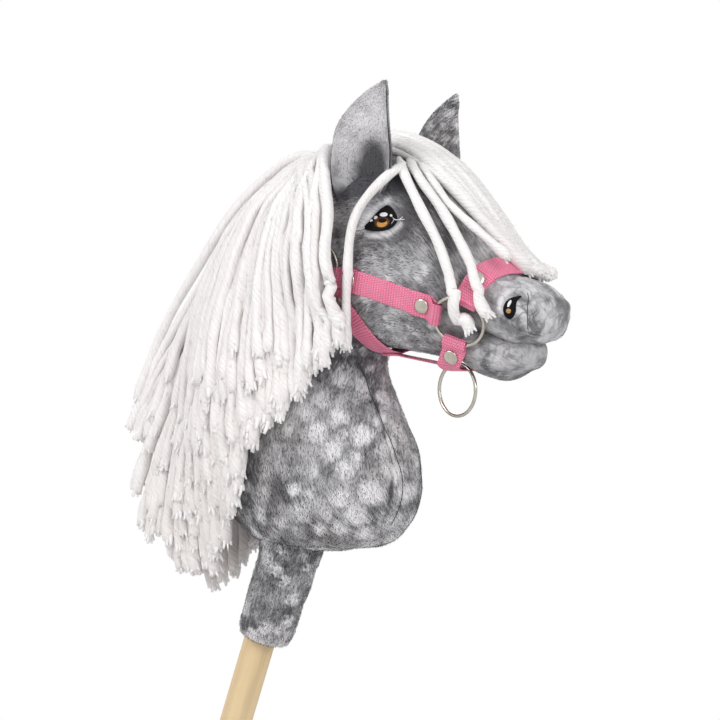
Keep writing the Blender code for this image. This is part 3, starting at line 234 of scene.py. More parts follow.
# How each pile attribute moves a hair's shade from the middle level
HAIR_LEVEL = 0.50
HAIR_WEIGHTS = {"spot": 0.42, "pale": 0.40, "tone": -0.34, "veins": 0.34}
# Pile hairs: width and rise over the skin, and how deep they are rooted
HAIR_WIDTH = 0.25 * MM
HAIR_RISE = math.radians(19.0)
HAIR_ROOT = 0.4 * MM
# Bare places round the embroidery: side-view x, z, radius x, radius z
BARE_SPOTS = ((129, 275, 23, 16), (244, 202, 9.5, 13))
# Where the lead ring comes to lie on the chin: x, z, radius x, radius z, half width
RING_TOUCH = (190, 153, 12, 8, 14)
# Fray at a strand's end and stray hairs along it, for each strand
FRAY_FIBRES = 14
FRAY_STEPS = 5
STRAY_HAIRS = 44
OVER_REACH = 30.0 * MM
# Single hairs of each part: how many, seed and length in millimetres
HAIRS = {
    "neck": (47000, 81, 3.8), "head": (47000, 82, 3.3), "muzzle": (12000, 83, 2.2),
    "lip": (9000, 84, 2.2), "sleeve": (16000, 85, 3.2),
    "ear_right": (11000, 85, 2.6), "ear_left": (11000, 87, 2.6),
    "lining_right": (9000, 93, 2.4), "lining_left": (9000, 95, 2.4),
}
# Pale dapples of each part: seed, least and greatest radius in millimetres, tries
DAPPLES = {
    "body": (71, (7.5, 13.5), 2200), "lip": (75, (4.0, 6.5), 200),
    "sleeve": (76, (6.0, 11.0), 400),
    "ear_right": (76, (4.5, 8.5), 260), "ear_left": (78, (4.5, 8.5), 260),
    "lining_right": (90, (5.0, 9.0), 260), "lining_left": (92, (5.0, 9.0), 260),
}
# The share left of a dapple's radius where dapples are small, and how near each
# other they lie
DAPPLE_SMALL = 0.55
DAPPLE_APART = 0.74
# Side-view height that parts neck from head, where the muzzle starts, and from
# where on the halter can press: back and low limit
NECK_TOP, MUZZLE_START = 165, 205
PRESSED_BACK, PRESSED_LOW = 20, 120

EYE_PLACE = (128, 275)
NOSTRIL_PLACE = (240, 203)

# Relief of the stuffed head in the side view: x, z, radius x, radius z, height,
# all in millimetres
RELIEF = (
    (128, 275, 17, 12, -3.4), (122, 294, 24, 7, 1.2), (132, 257, 20, 7, 1.6),
    (110, 309, 13, 8, -2.6), (112, 214, 32, 32, 3.0), (186, 236, 18, 22, -2.2),
    (243, 205, 17, 15, 2.6), (152, 246, 24, 9, 1.2), (232, 184, 12, 7, -1.2),
)
# Pile tone: x, z, radius x, radius z and how much darker (or lighter) it is. The
# darker bells are partly painted shade, the forelock's shadow on the forehead and
# shade at the ears' root, under the jaw and under the mane, and partly the pile's
# own darker grey
TONES = (
    (110, 309, 14, 10, 0.9), (95, 303, 15, 13, 1.0),
    (132, 304, 26, 16, 0.95), (157, 278, 22, 24, 1.05), (178, 262, 16, 14, 0.35),
    (104, 262, 16, 20, 0.40),
    (92, 170, 26, 20, 0.50), (60, 160, 40, 20, 0.40), (196, 208, 10, 12, 0.50),
    (206, 200, 14, 9, 0.75), (186, 172, 26, 9, 0.30), (120, 232, 40, 24, -0.15),
    (240, 232, 22, 16, -0.45), (262, 196, 14, 14, -0.25), (228, 164, 20, 10, -0.30),
    (10, 62, 30, 34, 0.60), (-60, 120, 26, 60, 0.75), (-30, 70, 30, 40, 0.45),
    (20, 20, 80, 12, 0.20), (62, 90, 34, 30, -0.18), (80, 40, 40, 24, -0.10),
    (122, 60, 8, 50, 0.15),
)
# Where the pile is calm, without dapples: x, z, radius x, radius z, share
CALM = (
    (128, 280, 32, 26, 1.0), (122, 302, 36, 20, 1.0), (162, 268, 24, 26, 0.75),
    (95, 302, 16, 15, 1.0), (104, 250, 20, 30, 0.4), (206, 205, 16, 12, 0.7),
)
# Where dapples are small, and where dark veins cross the pile
SMALL = ((170, 215, 60, 60, 1.0), (250, 190, 40, 50, 0.6), (110, 190, 40, 36, 0.9),
         (220, 165, 40, 22, 0.8))
VEINS = ((250, 196, 28, 24, 1.0), (222, 164, 26, 14, 0.9), (236, 226, 18, 12, 0.5))
# Pale bands round the eye and the nostril: lines of x, z and their half width
PALE_LINES = (
    ((107, 267), (113, 275), (119, 282), (125, 287), (132, 291)),
    ((113, 263.5), (122, 262), (132, 262), (139, 265), (145, 270.5)),
    ((233, 201), (235, 210), (241, 216), (248, 218), (255, 212)),
)
PALE_WIDTHS = (2.6, 1.9, 3.0)
# Crease between the muzzle and the lower lip, along which shade is painted
MOUTH_LINE = ((206, 184), (216, 180), (226, 176), (236, 173), (246, 174))
NOSE_SEAMS = (((253.5, 214.5), (255.6, 209), (256.4, 197), (256, 182.5)),
              ((256, 182.5), (258.5, 181.9), (261, 182.0)))
GUSSET_SEAM = ((84, -20, 158), (93, -18, 139), (107, -17, 106), (116, -15, 81), (119, -12, 63),
               (118, -12, 47), (115, -12, 36), (110, -13, 25))

# Embroidery threads: colour, width of a fibre and roughness. The iris takes its
# colour from the settings.
THREADS = {
    "black_thread": ((0.005, 0.0045, 0.0045), 0.0005, 0.75),
    "brown_thread": ((0.095, 0.036, 0.012), 0.0004, 0.5),
    "amber_thread": (None, 0.0004, 0.35),
    "white_thread": ((0.86, 0.86, 0.88), 0.0004, 0.4),
    "tan_thread": ((0.50, 0.30, 0.13), 0.0004, 0.4),
    "grey_thread": ((0.075, 0.073, 0.078), 0.0004, 0.7),
    "seam_tape": ((0.80, 0.77, 0.75), 0.0007, 0.8),
}
# Eyes and nostrils, in millimetres from their places: the outline's points and
# middle, then ovals on it: name, middle x and z, half width and height, lean,
# thickness, height of the foot, thread
EYE_OUTLINE = ((-16.5, -7.3), (-11.5, -0.3), (-6.0, 5.8), (-0.5, 9.8), (4.0, 11.4),
               (9.4, 7.0), (13.4, -0.4), (9.6, -6.8), (2.0, -9.6), (-8.0, -9.8))
EYE_OVALS = (
    ("eye_iris_rim", -0.4, -2.5, 7.4, 4.9, 0.0, 0.4, 1.35, "brown_thread"),
    ("eye_iris", -0.1, -3.5, 5.0, 3.3, 0.0, 0.4, 1.65, "amber_thread"),
    ("eye_pupil", -0.1, -1.3, 3.9, 1.9, 0.0, 0.35, 1.95, "black_thread"),
    ("eye_glint_1", 0.6, 3.8, 3.6, 1.7, 0.05, 0.35, 1.75, "white_thread"),
    ("eye_glint_2", -6.6, 1.4, 1.7, 1.2, 0.5, 0.35, 1.75, "white_thread"),
    ("eye_glint_3", -10.3, -1.2, 1.3, 0.8, 0.7, 0.35, 1.75, "white_thread"),
    ("eye_glint_4", 7.6, 2.9, 1.1, 1.0, 0.0, 0.35, 1.75, "white_thread"),
)
EYE_STITCHES = (((8.6, 2.6), (10.2, 0.2), (13.6, -0.9), (20.5, -0.6)), ((11.0, -0.4), (8.8, -4.0)),
                ((16.0, -0.8), (18.6, 1.6)), ((-15.6, -7.0), (-19.5, -8.4), (-24.0, -8.6)))
NOSTRIL_OUTLINE = ((-2.8, -2.5), (-0.9, 2.9), (3.3, 6.6), (10.4, 8.4), (8.2, 4.4),
                   (7.6, 0.3), (7.6, -4.2), (5.4, -8.6), (2.2, -10.4), (-1.4, -7.8))
NOSTRIL_OVALS = (
    ("nostril_glint", 2.6, 1.8, 1.2, 3.0, -0.35, 0.35, 1.45, "white_thread"),
    ("nostril_dot", 2.2, -4.1, 2.1, 1.9, 0.0, 0.4, 1.4, "tan_thread"),
)

# Lamps: name, place, target, size, power
LAMPS = (
    ("key_lamp", (-0.5, -2.1, 2.1), (0.2, 0.0, 0.65), 1.1, 30.0),
    ("fill_lamp", (2.2, -1.0, 1.5), (0.25, 0.0, 0.7), 1.3, 21.0),
    ("back_lamp", (-0.6, 1.9, 1.9), (0.15, 0.0, 0.7), 1.2, 12.0),
)
FLOOR_MIDDLE = (0.15, 0.0, -0.0045)
FLOOR_RINGS, FLOOR_SIDES, FLOOR_RADIUS = 24, 96, 1.6

# Camera that matches the photograph
CAMERA_PLACE = (1.26215083, -1.42727981, 0.67250437)
CAMERA_TURN = math.radians(35.0)
CAMERA_LENS = 102.27
CAMERA_SENSOR = 36.0

made = {}


def kept(make):
    """Decorator for a shape that is worked out once and then kept."""
    @functools.wraps(make)
    def read():
        if make.__name__ not in made:
            made[make.__name__] = make()
        return made[make.__name__]
    return read


class HorseSettings(bpy.types.PropertyGroup):
    """Sizes and colours of the horse that a user would change."""

    pile_light: FloatVectorProperty(name="Pale Pile", description="Colour of the dapples",
                                    subtype="COLOR", size=3, min=0, max=1,
                                    default=(0.765, 0.75, 0.77))
    pile_mid: FloatVectorProperty(name="Grey Pile", description="Colour between the dapples",
                                  subtype="COLOR", size=3, min=0, max=1,
                                  default=(0.37, 0.365, 0.38))
    pile_dark: FloatVectorProperty(name="Dark Pile", description="Colour of the dark streaks",
                                   subtype="COLOR", size=3, min=0, max=1,
                                   default=(0.060, 0.060, 0.070))
    dapple_scale: FloatProperty(name="Dapple Size", description="Size of the pale spots against "
                                "the usual one", subtype="FACTOR", default=1.0, min=0.3, max=3.0)
    yarn_color: FloatVectorProperty(name="Yarn", description="Colour of the mane and forelock",
                                    subtype="COLOR", size=3, min=0, max=1,
                                    default=(0.96, 0.935, 0.935))
    yarn_radius: FloatProperty(name="Yarn Radius", description="Radius of one strand of yarn",
                               unit="LENGTH", subtype="DISTANCE", default=0.0039,
                               min=0.001, max=0.01)
    mane_rows: IntProperty(name="Mane Rows", description="Strands along the crest, each side",
                           default=19, min=4, max=40)
    mane_layers: IntProperty(name="Mane Width", description="Strands from the face to the back",
                             default=10, min=3, max=20)
    forelock_strands: IntProperty(name="Forelock Strands", description="Strands of the forelock",
                                  default=44, min=6, max=90)
    webbing_color: FloatVectorProperty(name="Webbing", description="Colour of the halter's straps",
                                       subtype="COLOR", size=3, min=0, max=1,
                                       default=(0.99, 0.235, 0.40))
    metal_color: FloatVectorProperty(name="Nickel", description="Colour of rings and rivets",
                                     subtype="COLOR", size=3, min=0, max=1,
                                     default=(0.53, 0.495, 0.43))
    wood_color: FloatVectorProperty(name="Wood", description="Pale wood of the stick",
                                    subtype="COLOR", size=3, min=0, max=1,
                                    default=(0.655, 0.485, 0.270))
    iris_color: FloatVectorProperty(name="Iris", description="Thread of the iris",
                                    subtype="COLOR", size=3, min=0, max=1,
                                    default=(0.62, 0.27, 0.06))


def settings():
    """The scene's sizes and colours of the horse."""
    return bpy.context.scene.hobby_horse


# Shapes shared by the pieces

def side_point(x, z, y=0.0):
    """World points of side-view millimetres: the seat plus x forwards, z up and
    y to the left."""
    x, z, y = np.broadcast_arrays(np.asarray(x, float), np.asarray(z, float),
                                  np.asarray(y, float))
    return SEAT + np.stack([x, y, z], axis=-1) * MM


def read_rows(rows, spots):
    """Rows at fractional numbers, on a smooth curve through the given ones: a
    cubic through four neighbours, whose slope at a row joins the rows beside it."""
    rows = np.asarray(rows, float)
    padded = np.concatenate([2 * rows[:1] - rows[1:2], rows, 2 * rows[-1:] - rows[-2:-1]])
    spots = np.clip(np.asarray(spots, float), 0.0, len(rows) - 1.0)
    low = np.minimum(spots.astype(int), len(rows) - 2)
    t = (spots - low).reshape((-1,) + (1,) * (rows.ndim - 1))
    a, b, c, d = padded[low], padded[low + 1], padded[low + 2], padded[low + 3]
    return 0.5 * (2 * b + (c - a) * t + (2 * a - 5 * b + 4 * c - d) * t**2
                  + (3 * b - 3 * c + d - a) * t**3)


def unit(vectors):
    """Vectors brought to length 1."""
    length = np.linalg.norm(vectors, axis=-1, keepdims=True)
    return vectors / np.maximum(length, 1e-12)


def full_turn(count):
    """Angles at equal steps round a circle."""
    return np.linspace(0.0, 2 * math.pi, count, endpoint=False)


def local_mm(grid):
    """Side-view millimetres of world points: x forwards, y to the left, z up."""
    return (grid - SEAT) / MM


def flat_side(points):
    """World points laid on the middle plane."""
    return points * np.array([1.0, 0.0, 1.0])


def facing(vector, way):
    """The vector or its opposite, whichever points the given way."""
    return vector if np.dot(vector, way) > 0 else -vector


def lengths_of(line):
    """Distance along a line at each of its points."""
    return np.concatenate([[0.0], np.cumsum(np.linalg.norm(np.diff(line, axis=0), axis=1))])


def bells(grid, spots):
    """Sum of bells in the side view, each of x, z, radius x, radius z, height."""
    local = local_mm(grid)
    total = np.zeros(grid.shape[:2])
    for x, z, wide, tall, amount in spots:
        total += amount * np.exp(-((local[..., 0] - x) / wide) ** 2
                                 - ((local[..., 2] - z) / tall) ** 2)
    return total


def inside_oval(local, x, z, wide, tall):
    """Where side-view points lie inside an oval."""
    return ((local[..., 0] - x) / wide) ** 2 + ((local[..., 2] - z) / tall) ** 2 < 1


def oval_points(rows, angles, lift=0.0):
    """Points of squared ovals: each row's middle, plus cos(angle) of the half
    depth and sin(angle) of the half width, both raised to the row's power.
    Rows and angles give a grid, rows first; lift swells it."""
    upper, lower = side_point(rows[:, 0], rows[:, 1]), side_point(rows[:, 2], rows[:, 3])
    middle, half = (upper + lower) / 2, (upper - lower) / 2
    depth = np.linalg.norm(half, axis=1)
    up = half / depth[:, None]
    power = (2.0 / rows[:, 5])[:, None]
    c, s = np.cos(angles), np.sin(angles)
    along = np.sign(c) * np.abs(c) ** power * (depth[:, None] + lift)
    across = np.sign(s) * np.abs(s) ** power * (rows[:, 4:5] * MM + lift)
    return (middle[:, None] + along[..., None] * up[:, None]
            - across[..., None] * np.array([0.0, 1.0, 0.0]))


def mesh_piece(name, points, faces, corners_uv=None, attributes=None, closed=True):
    """Smooth object from points and face index arrays of three or four corners,
    its faces turned outwards where it is a closed shape."""
    mesh = bpy.data.meshes.new(name)
    indices = [face for block in faces for face in np.asarray(block).tolist()]
    mesh.from_pydata(np.asarray(points, float).tolist(), [], indices)
    if corners_uv is not None:
        layer = mesh.uv_layers.new(name="UVMap")
        flat = np.concatenate([np.asarray(block, float).reshape(-1) for block in corners_uv])
        layer.data.foreach_set("uv", flat.astype(np.float32))
    for key, values in (attributes or {}).items():
        values = np.asarray(values, np.float32)
        kind = "FLOAT" if values.ndim == 1 else "FLOAT_VECTOR"
        attribute = mesh.attributes.new(key, kind, "POINT")
        attribute.data.foreach_set("value" if kind == "FLOAT" else "vector", values.reshape(-1))
    mesh.shade_smooth()
    piece = bpy.data.objects.new(name, mesh)
    bpy.context.scene.collection.objects.link(piece)
    if closed:
        outwards(piece)
    return piece


def tube_faces(rings, sides, start=0):
    """Quads of a closed tube whose rings follow each other, outwards for rings
    that run counter-clockwise seen from the tube's far end."""
    i, j = np.meshgrid(np.arange(rings - 1), np.arange(sides), indexing="ij")
    k = (j + 1) % sides
    quads = np.stack([i * sides + j, i * sides + k, (i + 1) * sides + k, (i + 1) * sides + j],
                     axis=-1)
    return quads.reshape(-1, 4) + start


def tube_uv(lengths, widths):
    """Corner coordinates for tube_faces: the length along by the width around."""
    rings, sides = len(lengths), widths.shape[1] - 1
    i, j = np.meshgrid(np.arange(rings - 1), np.arange(sides), indexing="ij")
    along = np.stack([lengths[i], lengths[i], lengths[i + 1], lengths[i + 1]], axis=-1)
    around = np.stack([widths[i, j], widths[i, j + 1], widths[i + 1, j + 1], widths[i + 1, j]],
                      axis=-1)
    return np.stack([along, around], axis=-1).reshape(-1, 4, 2)


def fan(ring, pole, flip):
    """Triangles that close a ring of indices to one point."""
    following = np.roll(ring, -1)
    pair = (following, ring) if flip else (ring, following)
    return np.stack([pair[0], pair[1], np.full(len(ring), pole)], axis=-1)


def tube_shell(rings, sides):
    """Faces of a tube whose ends are closed to two last points: its quads, and
    the triangles at its first and last ring."""
    ring = np.arange(sides)
    return [tube_faces(rings, sides), fan(ring, rings * sides, True),
            fan(ring + (rings - 1) * sides, rings * sides + 1, False)]


def with_poles(values):
    """Values of a grid in one list, then the means of its first and last ring."""
    flat = values.reshape((-1,) + values.shape[2:])
    return np.concatenate([flat, values[:1].mean(axis=1), values[-1:].mean(axis=1)])


def widths_around(grid):
    """Distance round each ring at its points, and once more at its start."""
    steps = np.linalg.norm(np.diff(np.concatenate([grid, grid[:, :1]], axis=1), axis=1), axis=-1)
    return np.concatenate([np.zeros((len(grid), 1)), np.cumsum(steps, axis=1)], axis=1)


def closed_tube(name, grid, attributes=None, along=None, widths=None):
    """Tube from a grid of rings, each end closed to the middle of its ring.
    Its coordinates are metres along and around."""
    along = lengths_of(grid.mean(axis=1)) if along is None else along
    faces = tube_shell(*grid.shape[:2])
    uvs = [tube_uv(along, widths_around(grid) if widths is None else widths)]
    for ring in (0, -1):
        uvs.append(np.broadcast_to(np.array([along[ring], 0.0]), (grid.shape[1], 3, 2)))
    full = {key: with_poles(values) for key, values in (attributes or {}).items()}
    return mesh_piece(name, with_poles(grid), faces, uvs, full)


def torus_tube(name, grid, attributes):
    """Tube whose last ring joins its first, as a sleeve's inside and outside."""
    rings, sides = grid.shape[:2]
    ring = np.arange(sides)
    following = (ring + 1) % sides
    last = (rings - 1) * sides
    seam = np.stack([last + ring, last + following, following, ring], axis=-1)
    runs = np.linalg.norm(np.diff(grid, axis=0), axis=-1).mean(axis=1)
    along = np.concatenate([[0.0], np.cumsum(runs)])
    uvs = [tube_uv(along, widths_around(grid)), np.zeros((sides, 4, 2))]
    full = {key: values.reshape((-1,) + values.shape[2:]) for key, values in attributes.items()}
    return mesh_piece(name, grid.reshape(-1, 3), [tube_faces(rings, sides), seam], uvs, full)


def outwards(piece):
    """Turn a closed shape's faces outwards where it is inside out."""
    work = bmesh.new()
    work.from_mesh(piece.data)
    if work.calc_volume(signed=True) < 0:
        bmesh.ops.reverse_faces(work, faces=work.faces)
        work.to_mesh(piece.data)
    work.free()


def cell_areas(grid):
    """Area that each point of a grid stands for."""
    return np.linalg.norm(np.cross(np.gradient(grid, axis=0), np.gradient(grid, axis=1)), axis=-1)


def grid_normals(grid):
    """Unit normals of a grid that closes on itself around."""
    along = np.gradient(grid, axis=0)
    around = (np.roll(grid, -1, axis=1) - np.roll(grid, 1, axis=1)) / 2
    normal = unit(np.cross(around, along))
    middle = grid.mean(axis=1, keepdims=True)
    flip = np.sign(np.sum(normal * (grid - middle), axis=-1).mean())
    return normal * flip


def oval_grid(sections, rings, sides):
    """Rings of ovals at equal steps through the sections."""
    rows = read_rows(sections, np.linspace(0.0, len(sections) - 1.0, rings))
    return oval_points(rows, np.broadcast_to(full_turn(sides), (rings, sides)))


def closed_rings(grid, dome, steps, at_end):
    """Rings that close a tube in a rounded dome: each is the end ring shrunk by
    the cosine of an angle and moved outwards by the dome times its sine."""
    here, inner = (grid[-1], grid[-2]) if at_end else (grid[0], grid[1])
    middle = here.mean(axis=0)
    outward = unit(middle - inner.mean(axis=0))
    turns = np.linspace(0.0, math.pi / 2, steps + 1)[1:-1]
    rings = [middle + (here - middle) * math.cos(turn) + outward * dome * math.sin(turn)
             for turn in turns]
    return np.array(rings if at_end else rings[::-1]).reshape(-1, *here.shape)


def domed(grid, first, last):
    """Tube with a dome at both ends, each given as its height and steps."""
    return np.concatenate([closed_rings(grid, *first, False), grid,
                           closed_rings(grid, *last, True)])


def nearest_segment(points, line):
    """Distance of points to a line of joined segments."""
    line = np.asarray(line, float)
    flat = points.reshape(-1, points.shape[-1])
    best = np.full(len(flat), 1e9)
    for a, b in zip(line[:-1], line[1:]):
        run = b - a
        t = np.clip((flat - a) @ run / (run @ run), 0.0, 1.0)
        best = np.minimum(best, np.linalg.norm(flat - a - t[:, None] * run, axis=1))
    return best.reshape(points.shape[:-1])


def smooth_noise(shape, cells, seed):
    """Smooth random heights from -1 to 1 on a grid that closes around."""
    rng = np.random.default_rng(seed)
    coarse = rng.uniform(-1.0, 1.0, (cells[0] + 1, cells[1]))
    coarse = np.concatenate([coarse, coarse[:, :1]], axis=1)
    rows = read_rows(coarse, np.linspace(0, cells[0], shape[0]))
    return read_rows(rows.T, np.linspace(0, cells[1], shape[1] + 1)[:-1]).T


def smooth_step(values):
    """0 below 0, 1 above 1, and a smooth bend between."""
    share = np.clip(values, 0.0, 1.0)
    return share**2 * (3 - 2 * share)


def dapple_places(grid, small, seed, radii, tries):
    """Seeded middles, radii and strengths of pale spots. They are drawn over the
    grid by its area, and one is kept where it lies far enough from those before."""
    rng = np.random.default_rng(seed)
    area = cell_areas(grid).reshape(-1)
    picks = rng.choice(len(area), tries, p=area / area.sum())
    points = grid.reshape(-1, 3)[picks]
    sizes = rng.uniform(*radii, tries) * MM * settings().dapple_scale
    sizes = sizes * (1 - (1 - DAPPLE_SMALL) * small.reshape(-1)[picks])
    kept = [0]
    for number in range(1, tries):
        apart = np.linalg.norm(points[kept] - points[number], axis=1)
        if np.all(apart > DAPPLE_APART * (sizes[kept] + sizes[number])):
            kept.append(number)
    return points[kept], sizes[kept], rng.uniform(0.40, 1.0, len(kept)) ** 0.70


def dapples(grid, small, seed, radii, tries):
    """Whiteness of the dapples at each point: the strongest of many soft discs,
    each falling smoothly from its core to its rim, on places pushed by noise."""
    shape = grid.shape[:2]
    push = np.stack([smooth_noise(shape, (64, 42), seed + k) for k in (1, 2, 3)], axis=-1)
    flat = (grid + push * 2.4 * MM).reshape(-1, 3)
    white = np.zeros(len(flat))
    for place, size, strength in zip(*dapple_places(grid, small, seed, radii, tries)):
        away = np.linalg.norm(flat - place, axis=1) / size
        white = np.maximum(white, strength * smooth_step((1.50 - away) / 1.35))
    return white.reshape(shape)


def put(piece, body, *nodes, slot=None, material=None):
    """Ride on a body, stand for CAD nodes, take a finish and a named material."""
    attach(piece, body)
    if nodes:
        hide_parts(*nodes)
    if material:
        piece.data.materials.clear()
        piece.data.materials.append(material_of(material))


# Materials

class Nodes:
    """Short way to write a node tree: nodes by type, linked by socket name."""

    def __init__(self, tree):
        self.tree = tree

    def link(self, output, socket):
        self.tree.links.new(output, socket)

    def fill(self, node, inputs):
        """Link or set a node's inputs."""
        for key, value in inputs.items():
            if hasattr(value, "is_output"):
                self.link(value, node.inputs[key])
            else:
                node.inputs[key].default_value = value
        return node

    def add(self, kind, inputs=None, **values):
        node = self.tree.nodes.new(kind)
        for key, value in values.items():
            setattr(node, key, value)
        return self.fill(node, inputs or {})

    def group(self, name, inputs):
        """Outputs of a shared node group, made on first use."""
        tree = bpy.data.node_groups.get(name) or GROUPS[name](name)
        return self.fill(self.add("ShaderNodeGroup", node_tree=tree), inputs).outputs

    def uv(self):
        return self.add("ShaderNodeUVMap", uv_map="UVMap").outputs[0]

    def place(self):
        return self.add("ShaderNodeTexCoord").outputs["Object"]

    def attribute(self, name, socket="Fac"):
        return self.add("ShaderNodeAttribute", attribute_name=name).outputs[socket]

    def parts(self, vector):
        return self.add("ShaderNodeSeparateXYZ", {0: vector}).outputs

    def math(self, operation, *values):
        return self.add("ShaderNodeMath", dict(enumerate(values)), operation=operation).outputs[0]

    def plus(self, a, b):
        return self.math("ADD", a, b)

    def minus(self, a, b):
        return self.math("SUBTRACT", a, b)

    def times(self, a, b):
        return self.math("MULTIPLY", a, b)

    def vector(self, operation, a, b=None, scale=None):
        inputs = {key: value for key, value in ((0, a), (1, b), ("Scale", scale))
                  if value is not None}
        node = self.add("ShaderNodeVectorMath", inputs, operation=operation)
        return node.outputs["Value" if operation == "LENGTH" else 0]

    def stretch(self, vector, factors):
        return self.vector("MULTIPLY", vector, factors)

    def mix(self, factor, a, b):
        return self.add("ShaderNodeMix", {0: factor, 6: a, 7: b}, data_type="RGBA").outputs[2]

    def ramp(self, value, low, high, out_low=0.0, out_high=1.0):
        """Smooth step from one value to another."""
        return self.add("ShaderNodeMapRange", {0: value, 1: low, 2: high, 3: out_low, 4: out_high},
                        interpolation_type="SMOOTHSTEP").outputs[0]

    def noise(self, vector, scale, detail=2.0, roughness=0.5, distortion=0.0):
        return self.add("ShaderNodeTexNoise",
                        {"Vector": vector, "Scale": scale, "Detail": detail,
                         "Roughness": roughness, "Distortion": distortion}).outputs["Fac"]

    def bump(self, shader, height, distance, strength):
        node = self.add("ShaderNodeBump",
                        {"Height": height, "Distance": distance, "Strength": strength})
        self.link(node.outputs[0], shader.inputs["Normal"])


def new_group(name, inputs, outputs):
    """Node group from names of inputs with their defaults, and of outputs. A
    default of three zeros is a vector, of four a colour."""
    group = bpy.data.node_groups.new(name, "ShaderNodeTree")
    kinds = {3: "NodeSocketVector", 4: "NodeSocketColor"}
    for label, default in inputs.items():
        size = len(default) if isinstance(default, tuple) else 1
        socket = group.interface.new_socket(name=label, in_out="INPUT",
                                            socket_type=kinds.get(size, "NodeSocketFloat"))
        if size == 1:
            socket.default_value = default
    for label in outputs:
        group.interface.new_socket(
            name=label, in_out="OUTPUT",
            socket_type="NodeSocketColor" if label == "Color" else "NodeSocketFloat")
    nodes = Nodes(group)
    return group, nodes, nodes.add("NodeGroupInput").outputs, nodes.add("NodeGroupOutput").inputs


def pile_group(name):
    """Dappled pile. Between the dapples the grey runs from dark to mid by streaks
    along the lie of the pile and by clouds; tone darkens it. The dapples' edges
    break up along the streaks, pale whitens, and veins draw dark cracks."""
    group, n, i, o = new_group(
        name, {"UV": VECTOR, "Place": VECTOR, "Spot": 0.0, "Tone": 0.0, "Pale": 0.0,
               "Veins": 0.0, "Light": COLOR, "Mid": COLOR, "Dark": COLOR}, ("Color", "Height"))
    fine = n.noise(n.stretch(i["UV"], (210.0, 1250.0, 1.0)), 1.0, 3.0, 0.6)
    broad = n.noise(n.stretch(i["UV"], (85.0, 400.0, 1.0)), 1.0, 2.0, 0.55)
    cloud = n.noise(i["Place"], 48.0, 4.0, 0.60)
    streak = n.plus(n.times(n.ramp(fine, 0.36, 0.64), 0.55),
                    n.times(n.ramp(broad, 0.35, 0.65), 0.45))
    ragged = n.times(n.minus(streak, 0.5), 0.42)
    spot = n.ramp(n.plus(i["Spot"], ragged), 0.14, 1.0)
    shade = n.plus(n.times(streak, 0.42), n.times(n.ramp(cloud, 0.30, 0.70), 0.55))
    shade = n.plus(n.minus(shade, n.times(i["Tone"], 0.62)), 0.08)
    base = n.mix(n.ramp(shade, 0.0, 0.85), i["Dark"], i["Mid"])
    base = n.mix(n.times(n.ramp(shade, 0.50, 1.10), 0.34), base, i["Light"])
    light = n.times(spot, n.ramp(i["Tone"], 1.5, 0.0))
    light = n.times(light, n.ramp(streak, -0.45, 0.55, 0.55, 1.0))
    mottled = n.times(n.ramp(streak, -0.6, 0.6, 0.50, 1.0), n.ramp(cloud, 0.30, 0.62, 0.55, 1.0))
    light = n.math("MAXIMUM", light, n.times(i["Pale"], mottled))
    bent = n.add("ShaderNodeTexNoise", {"Vector": i["Place"], "Scale": 60.0, "Detail": 2.0})
    bend = n.vector("SCALE", n.vector("SUBTRACT", bent.outputs["Color"], (0.5, 0.5, 0.5)),
                    scale=0.016)
    cracks = n.add("ShaderNodeTexVoronoi", {"Vector": n.vector("ADD", i["Place"], bend),
                                            "Scale": 92.0}, feature="DISTANCE_TO_EDGE")
    crack = n.times(n.ramp(cracks.outputs["Distance"], 0.15, 0.0), i["Veins"])
    crack = n.times(crack, n.ramp(cloud, 0.70, 0.45, 0.5, 1.0))
    marbled = n.times(n.times(i["Veins"], 0.80), n.ramp(cloud, 0.34, 0.60))
    light = n.times(n.math("MAXIMUM", light, marbled), n.minus(1.0, n.times(crack, 0.8)))
    base = n.mix(n.times(crack, 0.55), base, i["Dark"])
    color = n.mix(light, base, i["Light"])
    warm = n.times(n.ramp(n.noise(i["Place"], 17.0, 1.0), 0.40, 0.66), n.times(streak, 0.20))
    n.link(n.mix(warm, color, (0.36, 0.30, 0.24, 1.0)), o["Color"])
    n.link(n.plus(fine, n.times(broad, 0.6)), o["Height"])
    return group


def fibre_group(name):
    """Fibres of yarn or thread: fine and coarse ridges that run along the piece
    and lean by the twist."""
    group, n, i, o = new_group(name, {"UV": VECTOR, "Fibre": 0.0004, "Twist": 0.25},
                               ("Ridge", "Shade"))
    along, across, _ = n.parts(i["UV"])
    across = n.math("DIVIDE", n.plus(across, n.times(along, i["Twist"])), i["Fibre"])
    place = n.add("ShaderNodeCombineXYZ", {0: n.times(along, 110.0), 1: across}).outputs[0]
    fine = n.noise(place, 1.0, 3.0, 0.6)
    coarse = n.noise(n.stretch(place, (0.4, 0.22, 1.0)), 1.0, 1.0)
    n.link(n.plus(n.times(fine, 0.6), n.times(coarse, 0.8)), o["Ridge"])
    n.link(n.ramp(n.plus(n.times(fine, 0.5), n.times(coarse, 0.5)), 0.34, 0.64), o["Shade"])
    return group


def weave_group(name):
    """Webbing: plump cross ribs split by lengthwise warp cords, each second rib
    set half a cord sideways. Height of one cell is the product of the square
    roots of two sines."""
    group, n, i, o = new_group(name, {"UV": VECTOR, "Rib": 0.0021, "Cord": 0.0017},
                               ("Height", "Gap"))
    along, across, _ = n.parts(i["UV"])
    rib = n.math("DIVIDE", along, i["Rib"])
    number = n.math("ABSOLUTE", n.math("FLOOR", rib))
    half = n.times(n.math("MODULO", number, 2.0), 0.5)
    cord = n.plus(n.math("DIVIDE", across, i["Cord"]), half)
    a, b = (n.math("POWER", n.math("ABSOLUTE", n.math("SINE", n.times(turn, math.pi))), 0.5)
            for turn in (rib, cord))
    cell = n.times(a, b)
    thread = n.noise(n.stretch(i["UV"], (1600.0, 5200.0, 1.0)), 1.0)
    n.link(n.plus(cell, n.times(thread, 0.22)), o["Height"])
    n.link(n.ramp(cell, 0.62, 0.12), o["Gap"])
    return group


